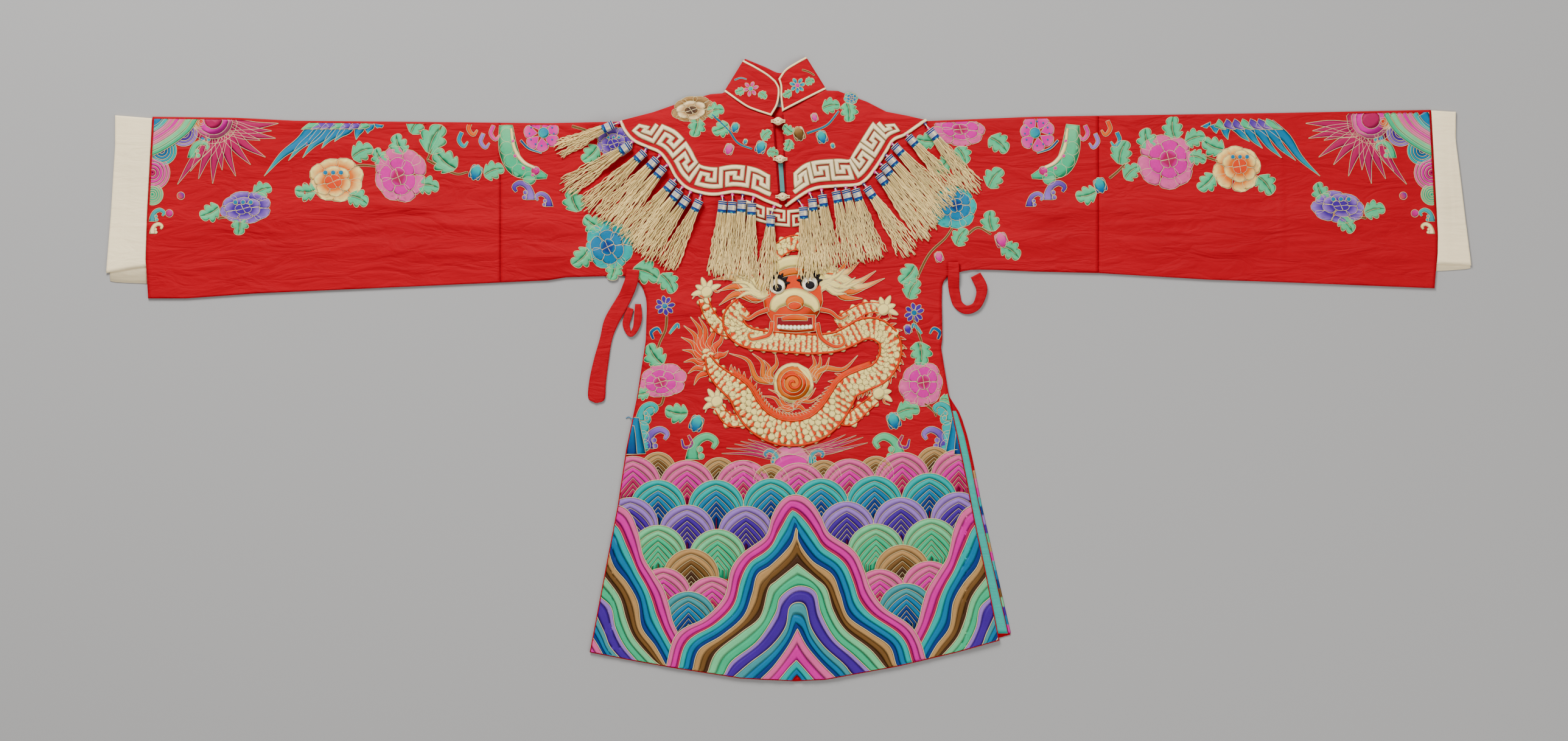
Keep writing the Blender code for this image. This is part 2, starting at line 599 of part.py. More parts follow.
def cape_patch(low_edge, front_edge, tip_x, front_x):
    share = np.linspace(0.0, 1.0, CAPE_COLUMNS)
    bend = share ** CAPE_BEND_POWER
    columns = tip_x + (front_x - tip_x) * share
    low = read_edge(low_edge, columns)
    ends = columns + (read_edge(front_edge, cape_top(columns)) - front_x) * bend
    top = np.maximum(cape_top(ends), low + 2.0)
    middle = np.clip(read_edge(SHOULDER_LINE, columns) + CREST, low + 0.7 * (top - low), top - 1.0)
    rise = np.linspace(0.0, 1.0, 6)[:, None]
    body = low + (middle - low) * rise
    past = middle + (top - middle) * np.array([0.5, 1.0])[:, None]
    y = np.vstack([body, past])
    x = columns + (read_edge(front_edge, y) - front_x) * bend
    return np.dstack([x, y])


def make_cape():
    left = cape_patch(CAPE_LOW_LEFT, CAPE_FRONT_EDGE_LEFT, CAPE_TIP_LEFT, CAPE_FRONT_LEFT)
    right = cape_patch(CAPE_LOW_RIGHT, CAPE_FRONT_EDGE_RIGHT, CAPE_TIP_RIGHT, CAPE_FRONT_RIGHT)
    wall("cape_left", [left], cape_low, cape_high, RED)
    wall("cape_right", [right], cape_low, cape_high, RED)
    columns = np.linspace(CAPE_TIP_LEFT + CAPE_BACK_INSET, CAPE_TIP_RIGHT - CAPE_BACK_INSET, CAPE_COLUMNS)
    low = np.where(columns < CAPE_FRONT_RIGHT,
                   read_edge(CAPE_LOW_LEFT, columns), read_edge(CAPE_LOW_RIGHT, columns))
    beside = np.minimum(cape_top(columns), CAPE_BACK_NECK) - 1.0
    top = np.where(np.abs(columns - NECK_X) < CAPE_BACK_NECK_HALF, CAPE_BACK_NECK_LOW, beside)
    rows = np.linspace(0.0, 1.0, 5)[:, None]
    patch = np.dstack([columns + 0.0 * rows, low + (top - low) * rows])
    wall("cape_back", [patch], lambda x, y: 0.0 * x, lambda x, y: 0.0 * x + WALL, RED)


def on_cape(x, y):
    return cape_high(x, y) + SEAM_GAP


def make_cape_trim():
    for side, low_edge, front_edge in (
            ("left", CAPE_LOW_LEFT, CAPE_FRONT_EDGE_LEFT),
            ("right", CAPE_LOW_RIGHT[::-1], CAPE_FRONT_EDGE_RIGHT)):
        edge = even_curve(low_edge, 44)
        inward = 1.0 if side == "left" else -1.0
        ribbon("cape_binding_" + side, edge[1:-1], BINDING_WIDTH, BINDING_WALL, on_cape, CREAM,
               side=inward * (BINDING_WIDTH * 0.5 + 0.2))
        keys, stroke = key_path(edge, inward, KEY_UNITS)
        ribbon("key_border_" + side, keys, stroke, KEY_WALL, on_cape, CREAM)


def key_path(edge, inward, units):
    # The key unit is repeated along the edge, in a band that narrows to the cape's tip
    flat = []
    for unit in range(units):
        for along, up in KEY_UNIT:
            if unit == 0 and along < 0.0:
                continue
            flat.append((unit + along, up))
    flat.append((units - 0.2, 0.12))
    flat = np.array(flat)
    fine = [flat[0]]
    for a, b in zip(flat[:-1], flat[1:]):
        steps = 3 if abs(b[0] - a[0]) > 0.6 else 2 if abs(b[1] - a[1]) > 0.6 else 1
        for k in range(1, steps + 1):
            fine.append(a + (b - a) * k / steps)
    fine = np.array(fine)
    number = np.arange(len(edge))

    # The band's cross direction is the edge's own, softened, and turns upright at the opening
    window = np.hanning(KEY_SOFTEN + 2)[1:-1]
    soft = np.column_stack([
        np.convolve(np.pad(side * inward, KEY_SOFTEN // 2, mode="edge"), window, "valid")
        for side in across(edge).T])
    upright = smooth((number / number[-1] - KEY_UPRIGHT) / KEY_UPRIGHT_BLEND)[:, None]
    soft = soft / np.linalg.norm(soft, axis=1)[:, None] * (1.0 - upright)
    soft = soft + np.array([0.0, 1.0]) * upright
    room = (read_edge(SHOULDER_LINE, edge[:, 0]) - edge[:, 1]) / np.maximum(soft[:, 1], 0.2)
    width = np.clip(room - KEY_MARGIN, KEY_LEAST, KEY_WIDTH)
    middle = edge + soft * (KEY_MARGIN + 0.5 * width)[:, None]
    length = np.concatenate([[0.0], np.cumsum(np.hypot(*np.diff(middle, axis=0).T))])
    start = np.interp(KEY_START_WIDTH, width[:len(width) // 3], length[:len(width) // 3])
    place = start + (length[-1] * KEY_STOP - start) * fine[:, 0] / units

    def on_band(distance, up):
        at = np.interp(distance, length, number)
        base = np.column_stack([np.interp(at, number, edge[:, k]) for k in (0, 1)])
        turn = np.column_stack([np.interp(at, number, soft[:, k]) for k in (0, 1)])
        return base + turn * (KEY_MARGIN + np.interp(at, number, width) * up)[:, None]

    path = on_band(place, fine[:, 1])
    ahead = on_band(place + KEY_FEEL, fine[:, 1])
    behind = on_band(place - KEY_FEEL, fine[:, 1])
    stretch = np.hypot(*(ahead - behind).T) / (2.0 * KEY_FEEL)
    narrow = np.interp(np.interp(place, length, number), number, width) / KEY_WIDTH
    return path, KEY_STROKE * np.clip(np.minimum(stretch, narrow * 1.05), 0.42, 1.0)


def make_neck_band():
    # The robe's own key band shows below the cape, mirrored about the middle
    flat = []
    for unit in range(NECK_KEY_UNITS):
        for along, up in KEY_UNIT:
            flat.append((unit + along, up))
    flat.append((NECK_KEY_UNITS - 0.2, 0.12))
    flat = np.array(flat)
    x = NECK_KEY_HALF * (2.0 * (flat[:, 0] + 0.1) / NECK_KEY_UNITS - 1.0)
    y = NECK_KEY_LOW + flat[:, 1] * NECK_KEY_WIDTH + NECK_KEY_BEND * x ** 2
    ribbon("neck_band", np.column_stack([x, y]), NECK_KEY_STROKE, KEY_WALL,
           lambda px, py: front_high(px, py) + SEAM_GAP, CREAM)


# Placket and ball buttons

def make_closure():
    y = np.linspace(PLACKET_TOP, PLACKET_LOW, 5)
    middle = (read_edge(CAPE_FRONT_EDGE_LEFT, y) + read_edge(CAPE_FRONT_EDGE_RIGHT, y)) * 0.5
    ribbon("placket", np.column_stack([middle, y]), PLACKET_WIDTH, PLACKET_WALL, cape_low, GREY_TEAL)
    for number, (x, y) in enumerate(BUTTON_PLACES, start=1):
        make_button("ball_button_%d" % number, x, y)


def make_button(name, x, y):
    # A knotted ball on the cord loop that crosses the opening from edge to edge
    across_gap = np.linspace(x - BUTTON_REACH, x + BUTTON_REACH, 7)
    loop = ribbon(name, np.column_stack([across_gap, 0.0 * across_gap + y]), BUTTON_LOOP * 1.6,
                  BUTTON_LOOP, on_cape, CREAM)
    base = float(on_cape(np.array([x]), np.array([y]))[0]) + BUTTON_LOOP * 0.4
    bpy.ops.mesh.primitive_uv_sphere_add(
        segments=10, ring_count=7, radius=BUTTON_RADIUS * MM,
        location=np.array([x, y, base + BUTTON_RADIUS * 0.9]) * MM)
    ball = bpy.context.object
    ball.name = name + "_ball"
    ball.hide_render = True
    ball.display_type = "WIRE"
    for holder in list(ball.users_collection):
        holder.objects.unlink(ball)
    cutters.objects.link(ball)
    union = loop.modifiers.new("ball", "BOOLEAN")
    union.operation = "UNION"
    union.solver = "EXACT"
    union.object = ball


# Stand collar

def coons(bottom, top, left, right):
    # A patch between four edge curves
    rows, cols = len(left), len(bottom)
    v = np.linspace(0.0, 1.0, rows)[:, None, None]
    u = np.linspace(0.0, 1.0, cols)[None, :, None]
    ruled_v = bottom[None] * (1 - v) + top[None] * v
    ruled_u = left[:, None] * (1 - u) + right[:, None] * u
    corners = (bottom[0] * (1 - u) * (1 - v) + bottom[-1] * u * (1 - v)
               + top[0] * (1 - u) * v + top[-1] * u * v)
    return ruled_v + ruled_u - corners


def collar_low(x, y):
    # Height rises from the side folds to the middle of the front
    left_line = -95.4 + (y - 410.0) * (28.7 / 46.8)
    right_line = 55.6 - (y - 413.6) * (30.1 / 48.0)
    inset = np.minimum(x - left_line, right_line - x)
    return COLLAR_SIDE_RISE + COLLAR_FRONT_RISE * smooth(inset / COLLAR_BLEND)


def collar_high(x, y):
    return collar_low(x, y) + COLLAR_WALL


def make_collar():
    rows, cols = 6, 9
    left = coons(even_curve(COLLAR_LEFT_BOTTOM, cols), even_curve(COLLAR_LEFT_TOP, cols),
                 even_curve([COLLAR_LEFT_BOTTOM[0], COLLAR_LEFT_TOP[0]], rows),
                 even_curve(COLLAR_LEFT_FRONT, rows))
    right = coons(even_curve(COLLAR_RIGHT_BOTTOM, cols), even_curve(COLLAR_RIGHT_TOP, cols),
                  even_curve(COLLAR_RIGHT_FRONT, rows),
                  even_curve([COLLAR_RIGHT_BOTTOM[-1], COLLAR_RIGHT_TOP[-1]], rows))
    wall("collar_left", [left], collar_low, collar_high, RED)
    wall("collar_right", [right], collar_low, collar_high, RED)
    back = coons(even_curve(COLLAR_BACK_LOW, 11), even_curve(COLLAR_BACK_TOP, 11),
                 even_curve([COLLAR_BACK_LOW[0], COLLAR_BACK_TOP[0]], 4),
                 even_curve([COLLAR_BACK_LOW[-1], COLLAR_BACK_TOP[-1]], 4))
    wall("collar_back", [back], lambda x, y: 0.0 * x, lambda x, y: 0.0 * x + COLLAR_WALL, RED)
    left_edge = np.vstack([even_curve(COLLAR_LEFT_BOTTOM, 8)[:-1], even_curve(COLLAR_LEFT_FRONT, 9)[:-1],
                           even_curve(COLLAR_LEFT_TOP[::-1], 6)])
    right_edge = np.vstack([even_curve(COLLAR_RIGHT_TOP[::-1], 7)[:-1],
                            even_curve(COLLAR_RIGHT_FRONT[::-1], 8)[:-1],
                            even_curve(COLLAR_RIGHT_BOTTOM, 7)])
    for name, edge in (("collar_binding_left", left_edge), ("collar_binding_right", right_edge)):
        ribbon(name, edge, COLLAR_BINDING, 1.1, lambda x, y: collar_high(x, y) + 2 * SEAM_GAP, CREAM,
               side=COLLAR_BINDING * 0.5 + 0.1)


# Ties

def make_ties():
    for name, table in (("tie_left", TIE_LEFT), ("tie_left_loop", TIE_LEFT_LOOP),
                        ("tie_right", TIE_RIGHT)):
        path = even_curve(table, 15)
        left = across(path)
        half = path[:, 2:3] * 0.5
        plan = np.stack([path[:, :2] + left * half, path[:, :2] - left * half], axis=1)
        rise = path[:, 3][:, None] + 0.0 * plan[..., 0]
        upper = np.dstack([plan, rise + WALL])
        under = np.dstack([plan, rise])
        shell(name, upper, under, RED)


# Tassels

def lap(x, y):
    # The surface that a tassel lies on: the robe's front, and its key band where it passes that
    arc = NECK_KEY_LOW + NECK_KEY_BEND * x * x
    over = abs(x) < NECK_KEY_HALF + 14.0 and arc - 48.0 < y < arc + NECK_KEY_WIDTH + 12.0
    return float(front_high(x, y)) + (KEY_WALL + SEAM_GAP if over else 0.0)


def nearest_on_cape(point):
    best = None
    for edge in (CAPE_LOW_LEFT, CAPE_LOW_RIGHT):
        curve = even_curve(edge, 200)
        gap = np.hypot(*(curve - point).T)
        k = int(np.argmin(gap))
        if best is None or gap[k] < best[0]:
            best = (gap[k], curve[k])
    return best[1]


def disc(i, j):
    # A three by three grid of cells bent to a round head
    a, c = i / 1.5 - 1.0, j / 1.5 - 1.0
    return a * np.sqrt(1.0 - c * c / 2.0), c * np.sqrt(1.0 - a * a / 2.0)


def make_tassel(name, head_x, head_y, end_x, end_y, fan):
    head = np.array([head_x, head_y])
    tail = np.array([end_x, end_y])
    run = (tail - head) / np.linalg.norm(tail - head)
    side = np.array([-run[1], run[0]])
    length = np.linalg.norm(tail - head)
    top = head - run * HEAD_LENGTH * 0.5
    floor = max(lap(*p) for p in (top, head, head + run * HEAD_LENGTH * 0.5))
    middle = floor + 0.45 + HEAD_HEIGHT * 0.5

    def ring_point(i, j, step, size):
        a, c = disc(i, j)
        plan = top + run * step + side * (a * HEAD_WIDTH * 0.5 * size)
        return (plan[0], plan[1], middle + c * HEAD_HEIGHT * 0.5 * size)

    border = ([(i, 0) for i in range(3)] + [(3, j) for j in range(3)]
              + [(i, 3) for i in range(3, 0, -1)] + [(0, j) for j in range(3, 0, -1)])
    grid = [(i, j) for i in range(4) for j in range(4)]
    points = []
    faces = []

    def add(position):
        points.append(position)
        return len(points) - 1

    first = {key: add(ring_point(*key, 0.0, 0.82)) for key in grid}
    rim = {key: add(ring_point(*key, HEAD_RIM, 1.0)) for key in border}
    last = {key: add(ring_point(*key, HEAD_LENGTH, 0.97)) for key in grid}
    for a, b in zip(border, border[1:] + border[:1]):
        faces.append((first[a], first[b], rim[b], rim[a]))
        faces.append((rim[a], rim[b], last[b], last[a]))

    # Knotted stem from the head to the cape's edge
    anchor = nearest_on_cape(top)
    reach = top - anchor
    gap = np.linalg.norm(reach)
    stem_end = anchor + reach / gap * STEM_CLEAR
    stem_z = lap(*stem_end) + STEM_HALF + 0.5
    for i in range(3):
        for j in range(3):
            cell = [(i, j), (i, j + 1), (i + 1, j + 1), (i + 1, j)]
            if (i, j) != (1, 1):
                faces.append([first[key] for key in cell])
                continue
            tip = []
            for key in cell:
                a, c = disc(*key)
                plan = stem_end + side * (a / 0.32 * STEM_HALF)
                tip.append(add((plan[0], plan[1], stem_z + c / 0.32 * STEM_HALF)))
            for k in range(4):
                m = (k + 1) % 4
                faces.append((first[cell[k]], first[cell[m]], tip[m], tip[k]))
            faces.append(tip)

    # Nine strands, one from each cell of the lower face
    spread = fan / (STRANDS - 1)
    for i in range(3):
        for j in range(3):
            cell = [(i, j), (i + 1, j), (i + 1, j + 1), (i, j + 1)]
            lane = 3 * i + j - 4
            root_side = (i - 1) * HEAD_WIDTH * 0.3
            rings = [[last[key] for key in cell]]
            for share, half_wide, half_high, stack in STRAND_RINGS:
                out = root_side + (lane * spread - root_side) * (0.12 + 0.88 * share) * share ** 0.3
                reach_to = HEAD_LENGTH * 0.5 + (length - HEAD_LENGTH * 0.5) * share
                reach_to -= (abs(lane) * STRAND_CURVE + (j - 1) * STRAND_STEP) * share
                centre = head + run * reach_to + side * out
                base = lap(*centre) + STRAND_GAP + half_high
                z = base + j * stack
                ring = []
                for di, dj in ((-1, -1), (1, -1), (1, 1), (-1, 1)):
                    plan = centre + side * di * half_wide * spread
                    ring.append(add((plan[0], plan[1], z + dj * half_high)))
                rings.append(ring)
            for near, far in zip(rings[:-1], rings[1:]):
                for k in range(4):
                    m = (k + 1) % 4
                    faces.append((near[k], near[m], far[m], far[k]))
            faces.append(rings[-1])
    piece = add_object(name, points, faces, THREAD, 0.8)
    turn_outward(piece)


def make_tassels():
    for number, row in enumerate(TASSELS, start=1):
        make_tassel("tassel_%02d" % number, *row)


# Build
for old in list(bpy.data.objects):
    bpy.data.objects.remove(old)
robe = bpy.data.collections.new("ceremonial_robe")
bpy.context.scene.collection.children.link(robe)
cutters = bpy.data.collections.new("cutters")
bpy.context.scene.collection.children.link(cutters)
make_body()
make_sleeves()
make_cuffs()
make_facing()
make_cape()
make_cape_trim()
make_neck_band()
make_closure()
make_collar()
make_ties()
make_tassels()
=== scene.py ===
# Ceremonial robe laid flat: silk panels, cuffs, cape, stand collar, tassels and raised embroidery.
# Plans are in millimetres, x along the sleeves and y from hem to collar; mm makes them metres.
import bpy
import bmesh
import numpy as np
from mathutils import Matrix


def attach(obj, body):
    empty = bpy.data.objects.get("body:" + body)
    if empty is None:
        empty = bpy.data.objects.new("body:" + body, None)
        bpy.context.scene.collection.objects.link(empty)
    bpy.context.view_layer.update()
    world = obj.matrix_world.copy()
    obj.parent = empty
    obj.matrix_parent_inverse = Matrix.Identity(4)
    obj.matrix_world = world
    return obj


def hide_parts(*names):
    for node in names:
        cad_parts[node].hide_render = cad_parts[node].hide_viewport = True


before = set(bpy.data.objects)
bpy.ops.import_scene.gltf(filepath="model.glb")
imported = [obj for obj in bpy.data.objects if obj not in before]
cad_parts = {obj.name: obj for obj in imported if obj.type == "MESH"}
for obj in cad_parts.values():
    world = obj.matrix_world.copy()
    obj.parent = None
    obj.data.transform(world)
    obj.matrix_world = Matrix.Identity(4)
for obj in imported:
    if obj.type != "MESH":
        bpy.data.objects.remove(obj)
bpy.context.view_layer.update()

mm = 0.001
rng = np.random.default_rng(11)

# Curves and steps


def smooth(value):
    # 0 below 0, 1 above 1, and a soft S between
    t = np.clip(value, 0.0, 1.0)
    return t * t * (3.0 - 2.0 * t)


def evenCurve(points, count):
    # Catmull-Rom curve through the points, read at even steps of its length
    pts = np.asarray(points, dtype=float)
    ends = np.vstack([2 * pts[0] - pts[1], pts, 2 * pts[-1] - pts[-2]])
    t = np.linspace(0.0, 1.0, 13)[None, :-1, None]
    a, b, c, d = (ends[k:len(ends) - 3 + k, None] for k in range(4))
    runs = 0.5 * (2 * b + (c - a) * t + (2 * a - 5 * b + 4 * c - d) * t ** 2
                  + (3 * b - a - 3 * c + d) * t ** 3)
    fine = np.vstack([runs.reshape(-1, pts.shape[1]), pts[-1:]])
    length = np.concatenate([[0.0], np.cumsum(np.linalg.norm(np.diff(fine, axis=0), axis=1))])
    at = np.linspace(0.0, length[-1], count)
    return np.column_stack([np.interp(at, length, fine[:, k]) for k in range(fine.shape[1])])


def leftOf(path):
    # Unit vectors to the left of a plan path
    run = np.gradient(path[:, :2], axis=0)
    run = run / np.maximum(np.linalg.norm(run, axis=1), 1e-9)[:, None]
    return np.column_stack([-run[:, 1], run[:, 0]])


# Cloth edges, as cut: the first column is the key that readEdge looks up

cloth = {"wall": 1.4, "sheet": 1.3, "layerGap": 0.5, "neckX": -14.0, "seamLeft": -426.0, "seamRight": 457.5,
         "armpitLeft": (-221.0, 127.4), "armpitRight": (234.0, 135.5)}
edges = {
    "shoulder": [(-948, 373), (-820, 371.5), (-730, 367), (-356, 363.5), (-250, 365.5), (205, 366.5),
                 (364, 373), (730, 378.5), (962, 383.2)],
    "sleeveLow": [(-955, 104.3), (-889, 104.3), (-788, 111.6), (-356, 131), (-329, 135.5), (-243, 138),
                  (-221, 127.4), (234, 135.5), (252, 143.6), (273, 147), (310, 146.3), (364, 144),
                  (458, 141.8), (622, 132), (730, 128.3), (962, 119)],
    "sideLeft": [(127.4, -221), (120, -215.7), (103, -210.3), (88, -209.7), (42, -211.2), (-44.6, -224.7),
                 (-117.5, -240), (-204, -253), (-281, -268), (-419, -294)],
    "sideRight": [(135.5, 234), (126.5, 227), (102, 226.2), (45.5, 227.1), (31, 225.3), (-38.3, 236.6),
                  (-114, 253.2), (-161.6, 263), (-227, 275.7), (-303, 292), (-401.4, 311.5)],
    "sideRightBack": [(135.5, 234), (126.5, 227), (102, 226.2), (45.5, 227.1), (31, 225.3), (-38.3, 236.6),
                      (-65.3, 254), (-98.6, 264.5), (-136.4, 273), (-196.7, 284.7), (-285, 304.5),
                      (-336, 316.2), (-391.1, 328.8)],
    "hem": [(-294, -419), (-229, -431.6), (-169, -442.4), (-70, -457.7), (9.3, -461.8), (55, -459.5),
            (162, -439.7), (249, -419), (311.5, -401.4), (328.8, -396.5)],
    "sleeveEndLeft": [(104.3, -946.5), (162.5, -950), (237, -947.4), (370.4, -940.2), (373, -940)],
    "sleeveEndRight": [(119, 954.3), (170, 958.4), (198, 958.8), (239, 956.6), (383.2, 948.9)],
    "cuffEndLeft": [(128, -1001.5), (139, -1008.8), (226, -1001.7), (330, -995.1), (374.9, -995.1)],
    "cuffEndRight": [(145, 1006.5), (152, 1008.8), (220, 1000.2), (273, 993.9), (343.4, 984.9), (380.3, 985.8)],
    "cuffFrontLowLeft": [(-1008.8, 139), (-953, 150), (-940, 151.5)],
    "cuffBackLowLeft": [(-1008.8, 133.7), (-988, 128.3), (-947, 126.5), (-940, 126)],
    "cuffFrontLowRight": [(948, 155), (974, 154.4), (1008.8, 152)],
    "cuffBackLowRight": [(948, 145), (986, 147.5), (1008.8, 151.5)],
    "cuffTopLeft": [(-995, 374.9), (-940, 370.5)],
    "cuffTopRight": [(948, 382), (986, 380.3)],
    "capeLowLeft": [(-250, 366), (-243.6, 351.5), (-230, 336.2), (-209.4, 326.3), (-191.4, 318.2), (-178, 301),
                    (-167, 281.3), (-151, 266), (-127.5, 258), (-106.8, 256.1), (-80.7, 259.7),
                    (-52.8, 255.2), (-34.8, 247.1), (-11, 238.1)],
    "capeLowRight": [(-4, 239), (34.5, 263.3), (70.5, 268.2), (102, 270.5), (116.4, 279.5), (126.3, 291.2),
                     (136.2, 305.6), (146, 321.3), (156, 337), (172.2, 344.3), (188.4, 355.5), (204.6, 366.8)],
    "capeTopLeft": [(-250, 366.5), (-201, 379.4), (-157, 394.7), (-115, 406.4), (-95.5, 407.5)],
    "capeTopRight": [(55.7, 411.5), (73, 410.9), (116.4, 394.7), (144.3, 380.3), (176.7, 374), (204.6, 367.3)],
    "capeFrontLeft": [(238.1, -11), (303, -16.8), (369.6, -21.6)],
    "capeFrontRight": [(239, -4), (303, -7), (375.5, -9.6)]}
edges = {name: np.array(sorted(rows), dtype=float) for name, rows in edges.items()}
collarCurves = {
    "leftLow": [(-95.4, 410), (-65.4, 388.8), (-49.2, 381.5), (-25.4, 373.6)],
    "leftTop": [(-66.7, 456.8), (-48.5, 447), (-30.6, 436), (-18.8, 426)],
    "leftFront": [(-25.4, 373.6), (-16.6, 389), (-13.4, 403.5), (-13.6, 416), (-18.8, 426)],
    "rightLow": [(-9.6, 380.2), (20, 395.5), (55.6, 413.6)],
    "rightTop": [(-15.6, 428.6), (-5.3, 442.8), (11, 453.5), (25.5, 461.8)],
    "rightFront": [(-9.6, 380.2), (-11.4, 392), (-12.6, 404), (-12.6, 418), (-15.6, 428.6)],
    "backTop": [(-64.4, 458.6), (-36, 447), (-13, 437.5), (4, 446), (22.5, 459.6)],
    "backLow": [(-92, 409), (-14, 399.8), (53, 412)]}


def readEdge(name, key):
    return np.interp(key, edges[name][:, 0], edges[name][:, 1])


# Heights of the layers, in millimetres over the floor

# Soft folds, columns x, y, half length, half width, slope, height
folds = np.array([
    (-810, 214, 120, 17, 0.02, 2.6), (-660, 238, 150, 20, -0.03, 2.2), (-560, 176, 130, 17, 0.04, 3.0),
    (-400, 214, 130, 18, 0.03, 3.2), (-330, 168, 90, 14, 0.05, 3.0), (-690, 322, 110, 16, 0.01, 1.8),
    (-470, 330, 120, 15, 0.02, 1.6), (330, 190, 90, 15, -0.05, 3.0), (455, 236, 140, 18, 0.03, 2.8),
    (610, 188, 140, 18, -0.02, 2.6), (790, 226, 130, 17, 0.02, 3.0), (700, 318, 130, 17, -0.01, 2.0),
    (860, 172, 80, 15, 0.03, 2.2), (-120, 92, 110, 17, 0.12, 2.4), (110, 84, 110, 17, -0.10, 2.4),
    (-60, 22, 150, 18, -0.06, 2.2), (90, -26, 130, 18, 0.07, 2.0), (-120, -96, 100, 19, 0.05, 1.8),
    (150, -128, 90, 19, -0.08, 1.6)])
# Sharper creases, same columns; the pressed ones stand upright
creases = np.array([
    (-584, 241, 46, 5, -0.10, 0.8), (-560, 226, 60, 6, 0.06, -0.9), (-628, 206, 40, 5, 0.12, 0.7),
    (-505, 214, 52, 5, -0.05, 0.8), (-610, 262, 44, 4, 0.04, 0.5), (-760, 184, 60, 5, 0.03, 0.7),
    (-700, 160, 70, 6, 0.06, -0.6), (-850, 150, 50, 4, 0.02, 0.6), (-470, 172, 60, 5, 0.05, 0.7),
    (-395, 186, 40, 5, -0.08, 0.6), (-860, 196, 36, 4, -0.05, 0.5), (-320, 200, 36, 5, 0.15, 0.6),
    (500, 214, 50, 5, 0.08, 0.8), (540, 196, 60, 5, -0.04, -0.8), (585, 220, 44, 5, 0.10, 0.7),
    (640, 172, 52, 5, 0.03, 0.7), (700, 206, 46, 5, -0.06, 0.8), (770, 190, 50, 4, 0.05, 0.6),
    (840, 210, 48, 5, -0.03, 0.7), (420, 196, 36, 5, 0.06, 0.6), (880, 150, 40, 4, 0.02, 0.5),
    (370, 232, 38, 5, -0.12, 0.6), (-150, 60, 30, 4, 0.20, 0.7), (165, 50, 30, 4, -0.25, 0.7),
    (-175, 96, 26, 4, 0.45, 0.8), (180, 90, 26, 4, -0.50, 0.8), (-20, 58, 50, 5, 0.02, 0.5),
    (-160, -20, 30, 4, 0.10, 0.5), (170, -30, 30, 4, -0.10, 0.5), (-40, -150, 60, 5, 0.0, 0.4)])
pressed = np.array([(-712, 1.1), (-667, 0.4), (728, 1.1), (-262, 0.4), (262, 0.4)])


def ridges(table, x, y):
    # Sum of long soft mounds: height exp(-(along / half length)^2 - (off / half width)^2)
    total = np.zeros(np.shape(x))
    for foldX, foldY, halfLong, halfWide, slope, height in table:
        off = (y - foldY - slope * (x - foldX)) / halfWide
        total += height * np.exp(-((x - foldX) / halfLong) ** 2 - off ** 2)
    return total


def crumple(x, y):
    # Small creases, a slow ripple along the cloth and the pressed folds
    total = 1.9 * ridges(creases, x, y)
    total += 0.3 * np.sin(x / 31.0 + 1.7 * np.sin(y / 47.0)) * np.sin(y / 23.0 + 1.3 * np.sin(x / 61.0))
    for lineX, height in pressed:
        total += height * np.exp(-((x - lineX) / 1.6) ** 2)
    return total


def capeLift(x, y):
    low = np.where(x < cloth["neckX"], readEdge("capeLowLeft", x), readEdge("capeLowRight", x))
    low = low + 1.6 * (np.maximum(-250.0 - x, 0.0) + np.maximum(x - 204.6, 0.0))
    return 1.9 * smooth((y - low + 95.0) / 50.0)


def robeTop(x, y):
    # The upper side of the robe's front layer, and of the sleeves past their seams
    x, y = np.broadcast_arrays(np.asarray(x, dtype=float), np.asarray(y, dtype=float))
    plain = 2 * cloth["wall"] + cloth["layerGap"]
    relief = ridges(folds, x, y) + crumple(x, y)
    low, top = readEdge("sleeveLow", x), readEdge("shoulder", x)
    share = np.clip((y - low) / (top - low), 0.0, 1.0)
    drop = 1.0 - np.sqrt(np.clip(1.0 - np.clip((y - top + 1.9) / 1.9, 0.0, 1.0) ** 2, 0.0, 1.0))
    sleeve = plain + relief * np.sqrt(np.sin(np.pi * share)) - drop * plain * 0.5
    facing = 1.35 * smooth((x - readEdge("sideRight", y) + 70.0) / 40.0) * smooth((-20.0 - y) / 30.0)
    body = plain + relief + capeLift(x, y) + facing
    past = np.maximum(smooth((cloth["seamLeft"] + 6 - x) / 12.0), smooth((x - cloth["seamRight"] + 6) / 12.0))
    return body + (sleeve - body) * past


def capeEdge(x):
    # The cape's upper edge: the fold over the shoulder, then the seam under the collar
    leftNeck, rightNeck = evenCurve(collarCurves["leftLow"], 40), evenCurve(collarCurves["rightLow"], 40)
    leftSeam = np.interp(x, *leftNeck.T) - 0.7 - 0.35 * np.maximum(x + 25.4, 0.0)
    left = np.where(x < -95.4, readEdge("capeTopLeft", x), leftSeam)
    right = np.where(x > 55.6, readEdge("capeTopRight", x), np.interp(x, *rightNeck.T) - 0.7)
    return np.where(x < cloth["neckX"], left, right)


def capeTop(x, y):
    # The cape lies on the robe and comes down past the shoulder line, with small pleats by the collar
    shoulder = readEdge("shoulder", x) + 3.0
    reach = np.maximum(capeEdge(x) - shoulder, 14.0)
    beside = smooth((np.abs(x - cloth["neckX"]) - 78.0) / 20.0)
    drop = (1.2 + 2.4 * beside) * smooth((y - shoulder) / reach)
    pleat = 0.5 * np.sin(x / 3.4) * np.exp(-((np.abs(x - cloth["neckX"]) - 84.0) / 16.0) ** 2)
    pleat = pleat * smooth((y - capeEdge(x) + 34.0) / 30.0)
    soft = 0.35 * np.sin(x / 19.0 + y / 33.0) * np.sin(y / 15.0)
    return 7.1 - drop + pleat + soft


def collarTop(x, y):
    leftLine = -95.4 + (y - 410.0) * (28.7 / 46.8)
    rightLine = 55.6 - (y - 413.6) * (30.1 / 48.0)
    inset = np.minimum(x - leftLine, rightLine - x)
    return 4.4 + 3.0 * smooth(inset / 26.0) + 0.2 * np.sin(x / 7.0) * smooth(inset / 10.0)


print("frame loaded, heights ready")

